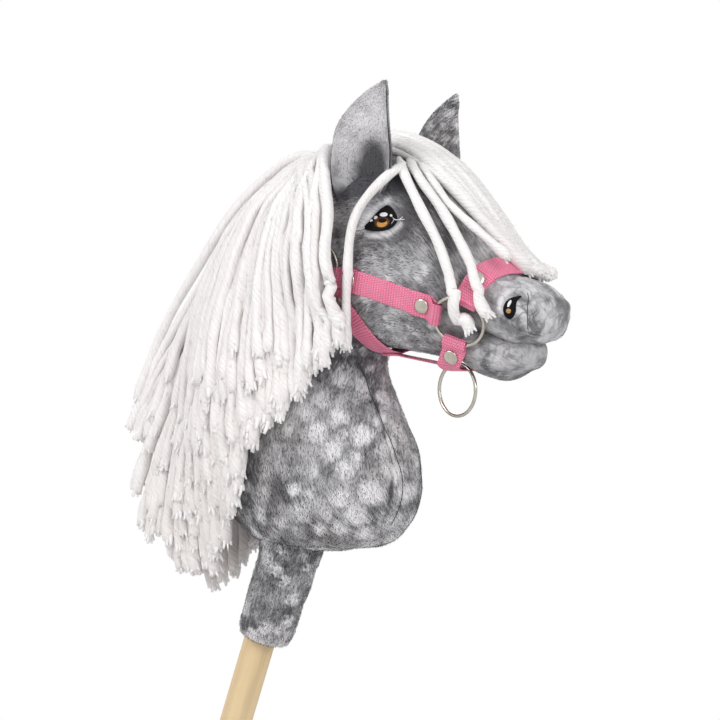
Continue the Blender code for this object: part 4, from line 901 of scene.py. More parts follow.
def wear_group(name):
    """Handling marks on a surface: cloudy smudges and fine scratches."""
    group, n, i, o = new_group(name, {"Place": VECTOR, "Scale": 60.0}, ("Smudge", "Scratch"))
    cloud = n.noise(i["Place"], i["Scale"], 3.0, 0.55)
    lines = n.noise(n.stretch(i["Place"], (9.0, 1.0, 14.0)), n.times(i["Scale"], 6.0), 2.0, 0.7)
    n.link(n.ramp(cloud, 0.35, 0.70), o["Smudge"])
    n.link(n.ramp(lines, 0.60, 0.72), o["Scratch"])
    return group


VECTOR, COLOR = (0.0,) * 3, (0.0,) * 4
GROUPS = {"dappled_pile": pile_group, "spun_fibres": fibre_group,
          "webbing_weave": weave_group, "handling_marks": wear_group}


def new_material(name, **constants):
    """Material with a Principled shader whose plain values are set on its
    own sockets."""
    material = bpy.data.materials.new(name)
    material.use_nodes = True
    material.node_tree.nodes.clear()
    n = Nodes(material.node_tree)
    shader = n.add("ShaderNodeBsdfPrincipled")
    for key, value in constants.items():
        shader.inputs[key.replace("_", " ").title().replace("Ior", "IOR")].default_value = value
    n.add("ShaderNodeOutputMaterial", {0: shader.outputs[0]})
    return material, n, shader


def rgba(color, factor=1.0):
    """Colour times a factor, with full alpha."""
    return (*(part * factor for part in color), 1.0)


def pile_material(name):
    """Short plush pile with dapples."""
    s = settings()
    material, n, shader = new_material(name, roughness=0.92, sheen_weight=0.12,
                                       sheen_roughness=0.5)
    out = n.group("dappled_pile", {
        "UV": n.uv(), "Place": n.attribute("root", "Vector"), "Spot": n.attribute("spot"),
        "Tone": n.attribute("tone"), "Pale": n.attribute("pale"), "Veins": n.attribute("veins"),
        "Light": rgba(s.pile_light), "Mid": rgba(s.pile_mid), "Dark": rgba(s.pile_dark)})
    n.link(out["Color"], shader.inputs["Base Color"])
    n.bump(shader, out["Height"], 0.0007, 0.7)
    return material


def hair_material(name):
    """One shade of single pile hair, from dark to white, dull like the pile."""
    s = settings()
    share = HAIR_SHADES[int(name[-1]) - 1]
    low, high, part = ((s.pile_dark, s.pile_mid, share * 2) if share < 0.5
                       else (s.pile_mid, s.pile_light, share * 2 - 1))
    color = [a * (1 - part) + b * part for a, b in zip(low, high)]
    return new_material(name, roughness=0.9, base_color=rgba(color))[0]


def yarn_material(name):
    """Soft roving yarn: matt white plies that wind round each other, with fine
    fibres along them and soft shade in the grooves."""
    s = settings()
    material, n, shader = new_material(name, roughness=0.95, sheen_weight=0.2)
    uv = n.uv()
    out = n.group("spun_fibres", {"UV": uv, "Fibre": 0.00050, "Twist": YARN_TWIST})
    along, across, _ = n.parts(uv)
    ply = 2 * math.pi * s.yarn_radius / YARN_PLIES
    turned = n.plus(across, n.times(along, YARN_TWIST))
    loose = n.noise(n.stretch(uv, (60.0, 160.0, 1.0)), 1.0, 2.0, 0.6)
    turned = n.plus(turned, n.times(n.minus(loose, 0.5), ply * 1.3))
    wave = n.math("ABSOLUTE", n.math("SINE", n.times(turned, math.pi / ply)))
    wave = n.math("POWER", wave, 0.6)
    color = n.mix(out["Shade"], rgba(s.yarn_color, 0.88), rgba(s.yarn_color))
    color = n.mix(n.ramp(wave, 0.70, 0.10, 0.0, 0.24), color, rgba(s.yarn_color, 0.72))
    # Tone turns the yarn warm grey: each strand's own tone and its painted shade
    color = n.mix(n.attribute("tone"), color, (0.62, 0.56, 0.52, 1.0))
    n.link(color, shader.inputs["Base Color"])
    n.bump(shader, n.plus(n.times(wave, 0.6), out["Ridge"]), 0.0007, 0.8)
    return material


def yarn_hair_material(name):
    """Single white fibres of the yarn."""
    return new_material(name, roughness=0.95, base_color=rgba(settings().yarn_color, 0.90))[0]


def webbing_material(name):
    """Pink woven webbing with darker gaps between the cords."""
    s = settings()
    material, n, shader = new_material(name, roughness=0.66, sheen_weight=0.1)
    out = n.group("webbing_weave", {"UV": n.uv(), "Rib": 0.0025, "Cord": 0.0021})
    marks = n.group("handling_marks", {"Place": n.place(), "Scale": 90.0})
    # Painted shade where the weave's cells are low, between the cords
    color = n.mix(out["Gap"], rgba(s.webbing_color), rgba(s.webbing_color, 0.52))
    color = n.mix(n.times(marks["Smudge"], 0.18), color, (0.95, 0.46, 0.60, 1.0))
    n.link(color, shader.inputs["Base Color"])
    n.bump(shader, out["Height"], 0.0008, 1.0)
    return material


def nickel_material(name):
    """Nickel plate, with smudges that dull it in places."""
    color = settings().metal_color
    material, n, shader = new_material(name, metallic=1.0)
    marks = n.group("handling_marks", {"Place": n.place(), "Scale": 140.0})
    rough = n.plus(n.times(marks["Smudge"], 0.16), 0.16)
    rough = n.plus(rough, n.times(marks["Scratch"], 0.15))
    n.link(n.mix(marks["Smudge"], rgba(color), rgba(color, 0.82)), shader.inputs["Base Color"])
    n.link(rough, shader.inputs["Roughness"])
    return material


def wood_material(name):
    """Planed pale softwood: long early and late wood lines along the stick,
    fine pores and slight colour drift."""
    wood = settings().wood_color
    material, n, shader = new_material(name, roughness=0.55)
    turned = n.add("ShaderNodeMapping", {"Vector": n.place(), "Rotation": (0.0, -STICK_TILT, 0.0)},
                   vector_type="POINT").outputs[0]
    drift = n.noise(n.stretch(turned, (1.0, 1.0, 0.035)), 160.0, 3.0, 0.55, 0.4)
    x, y, _ = n.parts(turned)
    rings = n.times(n.plus(y, n.times(x, 0.35)), 420.0)
    rings = n.plus(rings, n.times(drift, 5.5))
    wave = n.plus(n.times(n.math("SINE", rings), 0.5), 0.5)
    pores = n.noise(n.stretch(turned, (1.0, 1.0, 0.012)), 1500.0, 2.0, 0.6)
    color = n.mix(n.times(n.math("POWER", wave, 3.0), 0.42), rgba(wood), rgba(wood, 0.66))
    color = n.mix(n.times(n.ramp(pores, 0.5, 0.75), 0.35), color, rgba(wood, 0.55))
    color = n.mix(n.times(n.ramp(n.noise(turned, 9.0), 0.35, 0.7), 0.3), color,
                  (0.82, 0.66, 0.42, 1.0))
    n.link(color, shader.inputs["Base Color"])
    n.bump(shader, n.plus(n.times(wave, 0.5), pores), 0.00012, 0.6)
    return material


def thread_material(name):
    """Satin-stitched embroidery thread: ridges side by side, a little glossy."""
    color, fibre, rough = THREADS[name]
    color = color or settings().iris_color
    material, n, shader = new_material(name, roughness=rough, specular_ior_level=0.12)
    out = n.group("spun_fibres", {"UV": n.uv(), "Fibre": fibre, "Twist": 0.0})
    n.link(n.mix(out["Shade"], rgba(color, 0.62), rgba(color)), shader.inputs["Base Color"])
    n.bump(shader, out["Ridge"], 0.0003, 0.8)
    return material


def floor_material(name):
    """Pale floor that takes the shadow near the foot and is white further out."""
    material, n, shader = new_material(name, roughness=0.8, base_color=(0.86, 0.86, 0.86, 1.0))
    away = n.vector("SUBTRACT", n.place(), (FLOOR_MIDDLE[0], 0.0, 0.0))
    far = n.ramp(n.vector("LENGTH", away), 0.55, 1.45)
    white = n.add("ShaderNodeEmission", {"Color": (1, 1, 1, 1), "Strength": 1.0})
    mixed = n.add("ShaderNodeMixShader", {0: far, 1: shader.outputs[0], 2: white.outputs[0]})
    output = next(node for node in n.tree.nodes if node.type == "OUTPUT_MATERIAL")
    n.link(mixed.outputs[0], output.inputs[0])
    return material


HAIR_NAMES = ["pile_hair_%d" % (number + 1) for number in range(len(HAIR_SHADES))]
MATERIALS = {"dappled_plush": pile_material, "roving_yarn": yarn_material,
             "yarn_fibre": yarn_hair_material, "woven_webbing": webbing_material,
             "nickel_plate": nickel_material, "pale_wood": wood_material,
             "floor_paint": floor_material, **dict.fromkeys(HAIR_NAMES, hair_material),
             **dict.fromkeys(THREADS, thread_material)}


def material_of(name):
    """The material of a name, made on first use."""
    return bpy.data.materials.get(name) or MATERIALS[name](name)


# Pile

def spikes_piece(name, roots, aims, ups, widths, shades, materials):
    """Many closed spikes: a small three-cornered foot at each root, square to its
    aim, and a point at the aim's end. Their shading follows `ups`."""
    run = unit(aims)
    side = unit(np.cross(run, ups)) * widths[:, None] / 2
    rise = unit(np.cross(side, run)) * widths[:, None] * 0.6
    points = np.stack([roots + side, roots - side, roots + rise, roots + aims], axis=1)
    corners = np.array(((0, 1, 3), (1, 2, 3), (2, 0, 3), (1, 0, 2)))
    a, b, c, d = (points[0, k] for k in range(4))
    if np.dot(np.cross(b - a, c - a), d - a) > 0:
        corners = corners[:, ::-1]
    count = len(roots)
    faces = (np.arange(count)[:, None, None] * 4 + corners[None]).reshape(-1)
    mesh = bpy.data.meshes.new(name)
    mesh.vertices.add(count * 4)
    mesh.vertices.foreach_set("co", points.reshape(-1).astype(np.float32))
    mesh.loops.add(len(faces))
    mesh.loops.foreach_set("vertex_index", faces.astype(np.int32))
    mesh.polygons.add(count * 4)
    mesh.polygons.foreach_set("loop_start", np.arange(0, len(faces), 3, dtype=np.int32))
    mesh.polygons.foreach_set("material_index", np.repeat(shades, 4).astype(np.int32))
    mesh.update(calc_edges=True)
    mesh.shade_smooth()
    mesh.normals_split_custom_set_from_vertices(np.repeat(unit(ups), 4, axis=0).tolist())
    for material in materials:
        mesh.materials.append(material_of(material))
    piece = bpy.data.objects.new(name, mesh)
    bpy.context.scene.collection.objects.link(piece)
    return piece


def pile_hairs(part, grid, attributes, where):
    """Single hairs of the pile over a grid: drawn by area, leaning along its lie
    and rising from it, longer and shorter by chance, each with one of the
    shades that fits the dapples under it."""
    count, seed, length = HAIRS[part]
    rng = np.random.default_rng(seed)
    normals = grid_normals(grid)
    area = (cell_areas(grid) * where)[:-1].reshape(-1)
    i, j = np.divmod(rng.choice(len(area), count, p=area / area.sum()), grid.shape[1])
    u, v = rng.uniform(0, 1, (2, count, 1))
    k = (j + 1) % grid.shape[1]

    def read(values):
        flat = values if values.ndim == 3 else values[..., None]
        return ((flat[i, j] * (1 - v) + flat[i, k] * v) * (1 - u)
                + (flat[i + 1, j] * (1 - v) + flat[i + 1, k] * v) * u)

    root, normal, lie = read(grid), unit(read(normals)), unit(read(attributes["lie"]))
    level = HAIR_LEVEL
    for key, weight in HAIR_WEIGHTS.items():
        level = level + weight * read(attributes[key])
    level = level[:, 0] + rng.normal(0.0, 0.06, count)
    shades = np.clip(level * len(HAIR_SHADES), 0, len(HAIR_SHADES) - 1).astype(int)
    across = np.cross(lie, normal) * rng.normal(0.0, 0.30, (count, 1))
    rise = HAIR_RISE * rng.uniform(0.55, 1.45, (count, 1))
    aim = unit(unit(lie + across) * np.cos(rise) + normal * np.sin(rise))
    size = length * MM * rng.uniform(0.55, 1.25, (count, 1))
    size = size * (1 - 0.45 * read(attributes["veins"]))
    widths = HAIR_WIDTH * rng.uniform(0.75, 1.2, count)
    piece = spikes_piece("plush_hairs_" + part, root - normal * HAIR_ROOT, aim * size, normal,
                         widths, shades, HAIR_NAMES)
    put(piece, "horse", slot="plush")


def bare(grid):
    """1 where hairs may grow, 0 round the embroidery and along the seams."""
    local = local_mm(grid)
    free = np.ones(grid.shape[:2])
    for spot in BARE_SPOTS:
        free[inside_oval(local, *spot) & (np.abs(local[..., 1]) > FLANK_BARE)] = 0.0
    for seam in (*NOSE_SEAMS, [(x, z) for x, _, z in GUSSET_SEAM]):
        free[nearest_segment(local[..., [0, 2]], np.array(seam, float)) < 0.9] = 0.0
    return free


# Stuffed neck and head

def closed_body(rings, sides, cap_steps):
    """Body as a grid of ovals, its chest and nose closed by domes."""
    return domed(oval_grid(BODY_SECTIONS, rings, sides), (CHEST_DOME, cap_steps),
                 (NOSE_DOME, cap_steps))


def stuffed(grid):
    """Swell a closed skin as stuffing does: cloth under pressure, its seams
    held, and no point moved more than the cap. Gives each point's movement."""
    piece = closed_tube("stuffing_trial", grid)
    count = grid.shape[0] * grid.shape[1]
    group = piece.vertex_groups.new(name="held")
    seams = nearest_segment(flat_side(grid), side_line(GUSSET_SEAM))
    ends = np.zeros(grid.shape[:2], bool)
    ends[:3] = ends[-3:] = True
    held = np.nonzero(((seams < STUFFING_SEAM) | ends).reshape(-1))[0]
    group.add([int(k) for k in held], 1.0, "REPLACE")
    group.add([count, count + 1], 1.0, "REPLACE")
    cloth = piece.modifiers.new("stuffing", "CLOTH")
    cloth.settings.effector_weights.gravity = 0.0
    cloth.settings.use_pressure = True
    cloth.settings.uniform_pressure_force = STUFFING_PRESSURE
    cloth.settings.quality = 4
    cloth.settings.tension_stiffness = STUFFING_STIFFNESS
    cloth.settings.compression_stiffness = STUFFING_STIFFNESS
    cloth.settings.bending_stiffness = STUFFING_BENDING
    cloth.settings.vertex_group_mass = "held"
    cloth.point_cache.frame_start, cloth.point_cache.frame_end = 1, STUFFING_FRAMES
    scene = bpy.context.scene
    for number in range(1, STUFFING_FRAMES + 1):
        scene.frame_set(number)
    graph = bpy.context.evaluated_depsgraph_get()
    shape = piece.evaluated_get(graph).to_mesh()
    swollen = np.empty(len(shape.vertices) * 3, np.float32)
    shape.vertices.foreach_get("co", swollen)
    moved = swollen.reshape(-1, 3)[:count].reshape(grid.shape) - grid
    size = np.linalg.norm(moved, axis=-1, keepdims=True)
    scene.frame_set(1)
    bpy.data.objects.remove(piece, do_unlink=True)
    return moved * np.minimum(1.0, STUFFING_REACH / np.maximum(size, 1e-9))


def side_line(points):
    """World line of side-view points of x, z or x, y, z, laid on the middle plane."""
    points = np.asarray(points, float)
    return side_point(points[:, 0], points[:, -1])


def spread(values, shape):
    """Values on a coarse grid that closes around, read on a finer one."""
    rows = read_rows(values, np.linspace(0, len(values) - 1.0, shape[0]))
    turned = np.swapaxes(rows, 0, 1)
    turned = np.concatenate([turned, turned[:1]])
    fine = read_rows(turned, np.linspace(0, len(turned) - 1.0, shape[1] + 1)[:-1])
    return np.swapaxes(fine, 0, 1)


def relief(grid, normals):
    """Height of the head's relief: a sum of bells in the side view, on the
    flanks only."""
    return bells(grid, RELIEF) * MM * np.abs(normals[..., 1]) ** 0.5


def by_gusset(grid):
    """Where the skin is as far from the middle plane as the gusset's seams."""
    return np.abs(np.abs(grid[..., 1]) - GUSSET_APART) < GUSSET_BAND


def tones(grid):
    """How dark (tone) and how whitened (pale) the pile is at each point."""
    local = local_mm(grid)
    tone = bells(grid, TONES)
    flat = local[..., [0, 2]]
    pale = np.zeros(grid.shape[:2])
    for line, width in zip(PALE_LINES, PALE_WIDTHS):
        near = nearest_segment(flat, read_rows(line, np.linspace(0, len(line) - 1, 12)))
        pale = np.maximum(pale, np.minimum(1.0, 1.2 * np.exp(-(near / width) ** 2))
                          * (np.abs(local[..., 1]) > FLANK_PALE))
    # Painted shade along the crease between the muzzle and the lip
    tone += 1.8 * np.exp(-(nearest_segment(flat, MOUTH_LINE) / 3.3) ** 2)
    gusset = nearest_segment(flat, np.array(GUSSET_SEAM, float)[:, [0, 2]])
    tone += 1.15 * np.exp(-(gusset / 1.0) ** 2) * by_gusset(grid)
    seams = np.min([nearest_segment(flat, seam) for seam in NOSE_SEAMS], axis=0)
    tone += 0.25 * np.exp(-(seams / 1.0) ** 2)
    return tone, pale


@kept
def base_skin():
    """The stuffed skin before the halter presses on it."""
    grid = closed_body(SKIN_RINGS, SKIN_SIDES, SKIN_CAP)
    moved = stuffed(closed_body(SIM_RINGS, SIM_SIDES, SIM_CAP))
    grid = grid + spread(moved, grid.shape[:2])
    normals = grid_normals(grid)
    grid = grid + normals * relief(grid, normals)[..., None]
    seam = nearest_segment(flat_side(grid), side_line(GUSSET_SEAM))
    dip = np.exp(-(seam / (1.3 * MM)) ** 2) * by_gusset(grid)
    wave = (smooth_noise(grid.shape[:2], (70, 46), 5) * 0.5
            + smooth_noise(grid.shape[:2], (26, 16), 6))
    return grid + normals * (wave * 0.55 * MM - dip * 1.6 * MM)[..., None]


def tree_of(*grids):
    """Search tree over closed tubes."""
    points, faces = [], []
    for grid in grids:
        start = len(points)
        points += [Vector(p) for p in with_poles(grid)]
        for block in tube_shell(*grid.shape[:2]):
            faces += (block + start).tolist()
    return BVHTree.FromPolygons(points, faces)


@kept
def guide_tree():
    """Search tree over the plain skin that the frame's halter was laid on."""
    return tree_of(*(oval_grid(*guide) for guide in GUIDES))


def pressed(grid):
    """Skin pushed under the halter: where webbing lies lower than the pile, the
    skin goes down to just below it, and the pile round it gives way softly."""
    normals = grid_normals(grid)
    reach, below = 9.0 * MM, 0.5 * MM
    tree = made["straps"]
    local = local_mm(grid)
    near = (local[..., 2] > PRESSED_LOW) & (local[..., 0] > PRESSED_BACK)
    push = np.zeros(grid.shape[:2])
    covered = np.zeros(grid.shape[:2])
    for i, j in zip(*np.nonzero(near)):
        start = Vector(grid[i, j] - normals[i, j] * reach)
        hit = tree.ray_cast(start, Vector(normals[i, j]), 2 * reach)
        if hit[0] is not None:
            push[i, j] = min(0.0, hit[3] - reach - below)
            covered[i, j] = 1.0
    soft = push.copy()
    for _ in range(5):
        soft = (soft + np.roll(soft, 1, 0) + np.roll(soft, -1, 0) + np.roll(soft, 1, 1)
                + np.roll(soft, -1, 1)) / 5
    made["covered"] = covered
    return grid + normals * np.minimum(push, soft * 1.2)[..., None]


@kept
def final_skin():
    """Skin grid after the halter has pressed on it."""
    return pressed(base_skin())


@kept
def skin_tree():
    """Search tree over the pressed skin and the lower lip."""
    return tree_of(final_skin(), lip_grid())


def pile_attributes(grid, part):
    """Numbers that the pile's material and hairs read at each point."""
    tone, pale = tones(grid)
    small, calm, veins = (np.clip(bells(grid, spots), 0, 1) for spots in (SMALL, CALM, VEINS))
    return {"tone": tone, "pale": pale, "lie": -unit(np.gradient(grid, axis=0)), "root": grid,
            "spot": (dapples(grid, small, *DAPPLES[part]) * (1 - calm) * (1 - 0.75 * veins)
                     * (1 - 0.28 * small)),
            "veins": veins}


def plush_piece(name, grid, attributes, node, *more, slot="plush", shape=closed_tube):
    """Closed plush skin that stands for CAD nodes."""
    piece = shape(name, grid, attributes)
    put(piece, "horse", node, *more, slot=slot, material="dappled_plush")
    return piece


def make_body():
    """The stuffed neck and head in one skin, and its hairs in three pieces."""
    grid = final_skin()
    attributes = pile_attributes(grid, "body")
    piece = plush_piece("plush_head_and_neck", grid, attributes, "neck_body", "head_body")
    free = bare(grid) * (1 - made["covered"])
    local = local_mm(grid)
    neck, muzzle = local[..., 2] < NECK_TOP, local[..., 0] > MUZZLE_START
    pile_hairs("neck", grid, attributes, free * neck)
    pile_hairs("head", grid, attributes, free * ~neck * ~muzzle)
    pile_hairs("muzzle", grid, attributes, free * muzzle * ~neck)


@kept
def lip_grid():
    """Lower lip: ovals with rounded ends, a little uneven."""
    grid = domed(oval_grid(LIP_SECTIONS, LIP_RINGS, LIP_SIDES), *LIP_DOMES)
    wave = smooth_noise(grid.shape[:2], (12, 14), 9)
    return grid + grid_normals(grid) * (wave * 0.5 * MM)[..., None]


def make_lip():
    """Lower lip, a little darker than the muzzle, with its hairs."""
    grid = lip_grid()
    attributes = pile_attributes(grid, "lip")
    attributes["tone"] = attributes["tone"] + 0.20
    attributes["veins"] = attributes["veins"] * 0.8
    piece = plush_piece("plush_lower_lip", grid, attributes, "lower_lip")
    local = local_mm(grid)
    free = ~inside_oval(local, *RING_TOUCH[:4]) | (np.abs(local[..., 1]) > RING_TOUCH[4])
    pile_hairs("lip", grid, attributes, free)


def stick_frame(distance):
    """Middle of the stick at distances along it."""
    return np.stack([np.sin(STICK_TILT) * distance, np.zeros_like(distance),
                     np.cos(STICK_TILT) * distance], axis=-1)


def turned_about_stick(distances, radii, sides, shift=0.0, swell=0.0):
    """Rings about the stick's axis: radius by distance, plus a swell grid,
    shifted forwards square to the stick."""
    forward = np.array([math.cos(STICK_TILT), 0.0, -math.sin(STICK_TILT)])
    angles = full_turn(sides)
    radius = radii[:, None] + swell
    ring = (np.cos(angles)[None, :, None] * forward
            + np.sin(angles)[None, :, None] * np.array([0.0, 1.0, 0.0]))
    return (stick_frame(distances)[:, None] + forward * shift
            + ring * np.broadcast_to(radius, (len(distances), sides))[..., None])


def make_stick():
    """Round stick with a small rounded chamfer at both ends."""
    ends = np.array([0.0, 0.3, 1.0, 1.6]) * STICK_CHAMFER
    body = np.linspace(0.01, STICK_LENGTH - 0.01, 60)
    distances = np.concatenate([ends, body, STICK_LENGTH - ends[::-1]])
    edge = np.array([1.0, 0.45, 0.08, 0.0]) * STICK_CHAMFER
    radii = STICK_RADIUS - np.concatenate([edge, np.zeros_like(body), edge[::-1]])
    piece = closed_tube("stick_dowel", turned_about_stick(distances, radii, 72))
    put(piece, "horse", "stick", slot="wood", material="pale_wood")


def make_sleeve():
    """Sleeve: rings from the hem up, inside and out, with soft drag folds. The
    outside runs up into the neck, and the hem rolls in to the stick."""
    sides = SLEEVE_SIDES
    share = np.linspace(0.0, 1.0, SLEEVE_RINGS)
    distances = STICK_SHOWN + share * (SLEEVE_TOP - STICK_SHOWN)
    radii = SLEEVE_RADIUS + (1.2 * MM) * np.sin(share * math.pi * 0.6) + 3.2 * MM * share**3
    radii = radii - 1.4 * MM * np.exp(-(share / 0.03) ** 2)
    folds = (smooth_noise((SLEEVE_RINGS, sides), (9, 9), 3) * 0.9 * MM
             + smooth_noise((SLEEVE_RINGS, sides), (30, 22), 4) * 0.35 * MM)
    outer = turned_about_stick(distances, radii, sides, SLEEVE_FORWARD, folds)
    roll = np.linspace(0.0, math.pi, 9)[1:]
    hem_radii = radii[0] - HEM_ROLL + np.cos(roll) * HEM_ROLL
    hem = turned_about_stick(STICK_SHOWN - np.sin(roll) * HEM_DROP, hem_radii, sides,
                             SLEEVE_FORWARD, folds[:1] * 0.6)
    above, inside = np.array(SLEEVE_INSIDE).T * MM
    inner = turned_about_stick(STICK_SHOWN + above, inside, sides)
    top = turned_about_stick(np.array([SLEEVE_TOP]), inside[-1:], sides)
    grid = np.concatenate([top, inner[::-1], hem[::-1], outer])
    shape = grid.shape[:2]
    attributes = pile_attributes(grid, "sleeve")
    attributes.update(tone=np.full(shape, 0.24), pale=np.zeros(shape), veins=np.zeros(shape))
    hem_start = len(above)
    hem_end = hem_start + len(roll)
    attributes["pale"][hem_start:hem_end + 4] = 0.50
    piece = plush_piece("plush_sleeve", grid, attributes, "stick_sleeve", shape=torus_tube)
    grown = np.zeros(shape)
    grown[hem_end - 4:] = 1.0
    pile_hairs("sleeve", grid, attributes, grown)


# Ears

def ear_grid(side, inset, back, last, thickness, rings, sides):
    """One cupped sheet: across it an arc, along it the rows of the ear. Round
    each cross-section an angle goes over the back, round the edge and over the
    mouth side, so that the sheet has rounded edges. Gives the grid, and each
    point's share of the way across and height over the sheet's middle."""
    axis = unit(np.array([EAR_AXIS[0], side * EAR_AXIS[1], EAR_AXIS[2]]))
    mouth = np.array([math.cos(EAR_TURN), side * math.sin(EAR_TURN), 0.0])
    mouth = unit(mouth - axis * (mouth @ axis))
    across = np.cross(axis, mouth)
    rows = read_rows(EAR_SECTIONS, np.linspace(0.0, last, rings))
    half = np.maximum(rows[:, 3] * MM - inset, 1.2 * MM)[:, None]
    curl = np.radians(rows[:, 4])[:, None]
    radius = half / np.sin(curl)
    depth = radius * (1 - np.cos(curl)) / 2
    middle = side_point(rows[:, 0], rows[:, 2], side * rows[:, 1])
    turn = full_turn(sides)
    share = np.sign(np.cos(turn)) * np.abs(np.cos(turn)) ** 0.8
    wall = np.sign(np.sin(turn)) * np.abs(np.sin(turn)) ** 0.55 * thickness / 2
    arc = curl * share[None, :]
    bulge = np.linspace(1.0, 0.75, rings)[:, None]
    outward = across * np.sin(arc)[..., None] - mouth * np.cos(arc)[..., None]
    grid = (middle[:, None] + across * (radius * np.sin(arc))[..., None]
            + mouth * (radius * (1 - np.cos(arc)) - depth - back)[..., None]
            + outward * (wall * bulge)[..., None])
    return grid, share, wall


def ear_sheet(side, dome, *shape):
    """One sheet with its tip domed, and how far up each of its rings lies."""
    grid, share, wall = ear_grid(side, *shape)
    grid = np.concatenate([grid, closed_rings(grid, *dome, True)])
    return grid, np.linspace(0.0, 1.0, len(grid))[:, None], share, wall


def ear_piece(name, part, node, slot, grid, attributes, grown):
    """Plush of one sheet, its pile upwards, and the hairs of its grown rings."""
    attributes["veins"] = np.zeros(grid.shape[:2])
    attributes["lie"] = -attributes["lie"]
    plush_piece(name, grid, attributes, node, slot=slot)
    pile_hairs(part, grid, attributes, grown * np.ones((1, grid.shape[1])))


def make_ears():
    """Each ear: a cupped plush shell, its pale lining with a dark hollow, and
    hairs on both."""
    between = EAR_SHELL / 2 + GAP + EAR_LINING / 2
    last = len(EAR_SECTIONS) - 1.0
    for side, word in SIDES:
        grid, up, share, wall = ear_sheet(side, (3.0 * MM, 5), 0.0, between, last, EAR_SHELL,
                                          110, 110)
        rim = np.abs(share) ** 6
        attributes = pile_attributes(grid, "ear_" + word)
        # Painted shade: the shell darkens at its root and over its back, and lightens towards the
        # tip and at the rim
        attributes["tone"] = (0.34 - 0.30 * up - 0.2 * rim + 1.0 * np.exp(-(up / 0.36) ** 2)
                              + 0.40 * (wall > 0))
        attributes["pale"] = 0.30 * rim * up**0.5
        ear_piece("plush_ear_" + word, "ear_" + word, "ear_shell_" + word, "plush", grid,
                  attributes, up > 0.12)
        grid, up, share, _ = ear_sheet(side, (1.5 * MM, 4), 1.2 * MM, 0.9 * MM, last - 0.3,
                                       EAR_LINING, 100, 90)
        # Painted shade in the ear's hollow, deepest near its root
        hollow_shade = (smooth_step((0.56 - up) / 0.30)
                  * np.exp(-((share + side * 0.22) / (0.74 - 0.75 * up)) ** 2))
        hollow_shade = np.maximum(hollow_shade, 0.75 * np.exp(-(up / 0.15) ** 2))
        attributes = pile_attributes(grid, "lining_" + word)
        attributes["spot"] = attributes["spot"] * (1 - hollow_shade)
        attributes["tone"] = 0.10 + 1.8 * hollow_shade
        attributes["pale"] = np.clip(0.76 - 1.3 * hollow_shade, 0, 1)
        ear_piece("plush_ear_lining_" + word, "lining_" + word, "ear_lining_" + word,
                  "ear_lining", grid, attributes, up > 0.16)


# Halter

def hit(tree, outside, direction):
    """Where a ray from outside meets the plush."""
    found = tree.ray_cast(Vector(outside), Vector(direction))[0]
    if found is None:
        raise RuntimeError("a ray misses the plush")
    return np.array(found)


def side_hit(tree, x, z, side):
    """Where a flank lies at world x and z."""
    return hit(tree, (x, side * FLANK_RAY, z), (0.0, -side, 0.0))


def align(normal, middle):
    """World matrix with its Z axis along the normal at the middle."""
    turn = Vector((0.0, 0.0, 1.0)).rotation_difference(Vector(normal)).to_matrix().to_4x4()
    return Matrix.Translation(Vector(middle)) @ turn


class Ring:
    """A halter ring's plane and middle over the plain skin."""

    def __init__(self, tree, place_mm, side):
        spot = side_point(*place_mm)
        reach = RING_INNER_RADIUS * 0.8
        corners = [side_hit(tree, spot[0] + dx, spot[2] + dz, side)
                   for dx, dz in ((-reach, -reach), (reach, -reach), (reach, reach),
                                  (-reach, reach))]
        normal = unit(np.cross(corners[2] - corners[0], corners[3] - corners[1]))
        self.normal = facing(normal, (0.0, side, 0.0))
        self.middle = side_hit(tree, spot[0], spot[2], side)
        wire = RING_INNER_RADIUS + RING_WIRE_RADIUS
        heights = []
        for angle in full_turn(RING_SPOTS):
            start = np.array(align(self.normal, self.middle)
                             @ Vector((wire * math.cos(angle), wire * math.sin(angle), 0.03)))
            skin = hit(tree, start, -self.normal)
            heights.append(np.dot(skin - self.middle, self.normal))
        self.middle = self.middle + self.normal * (max(heights) + RING_STAND_OFF)


class Route:
    """A strap's line over the plain skin, read by the distance along it."""

    def __init__(self, tree, rays, across, slack=0.0):
        self.tree, self.across, self.rays, self.slack = tree, across, rays, slack
        fine = np.linspace(0.0, 1.0, 121)
        line = np.array([self.hit(t, 0.0) for t in fine])
        self.lengths = lengths_of(line)
        self.fine = fine
        self.length = self.lengths[-1]
        reach = STRAP_WIDTH / 2
        widths = np.array([self.hit(t, reach) - self.hit(t, -reach) for t in fine])
        normals = unit(np.cross(np.gradient(line, axis=0), widths))
        if np.dot(normals[0], self.rays(0.0)[1]) > 0:
            normals = -normals
        padded = np.vstack([normals[:1]] * 4 + [normals] + [normals[-1:]] * 4)
        self.normals = np.array([padded[i:i + 9].mean(axis=0) for i in range(len(fine))])

    def hit(self, t, offset):
        outside, direction = self.rays(t)
        if offset:
            ends = [hit(self.tree, outside + self.across * side * STRAP_WIDTH / 2, direction)
                    for side in (-1, 1)]
            offset = offset * STRAP_WIDTH / np.linalg.norm(ends[1] - ends[0])
        return hit(self.tree, outside + self.across * offset, direction)

    def point(self, distance, offset, lift):
        t = np.interp(distance, self.lengths, self.fine)
        point = self.hit(t, offset)
        outward = np.array([np.interp(distance, self.lengths, self.normals[:, i])
                            for i in range(3)])
        if self.slack:
            folded = RIVET_FROM_RING + TAIL_PAST_RIVET
            share = smooth_step((min(distance, self.length - distance) - folded)
                                / (self.length / 2 - folded))
            level = self.hit(t, 0.0) + np.array([offset, 0.0, 0.0])
            point = point * (1 - share) + level * share
            outward = outward * (1 - share) + np.array([0.0, 0.0, -share])
            lift = lift + self.slack * share
        return point + unit(outward) * lift


def side_route(tree, start_mm, end_mm, side):
    """Straight in the side view, from one ring's middle to another's."""
    start, end = side_point(*start_mm), side_point(*end_mm)
    run = unit(end - start)

    def rays(t):
        spot = start + (end - start) * t
        return np.array([spot[0], side * FLANK_RAY, spot[2]]), np.array([0.0, -side, 0.0])

    return Route(tree, rays, np.array([-run[2], 0.0, run[0]]))


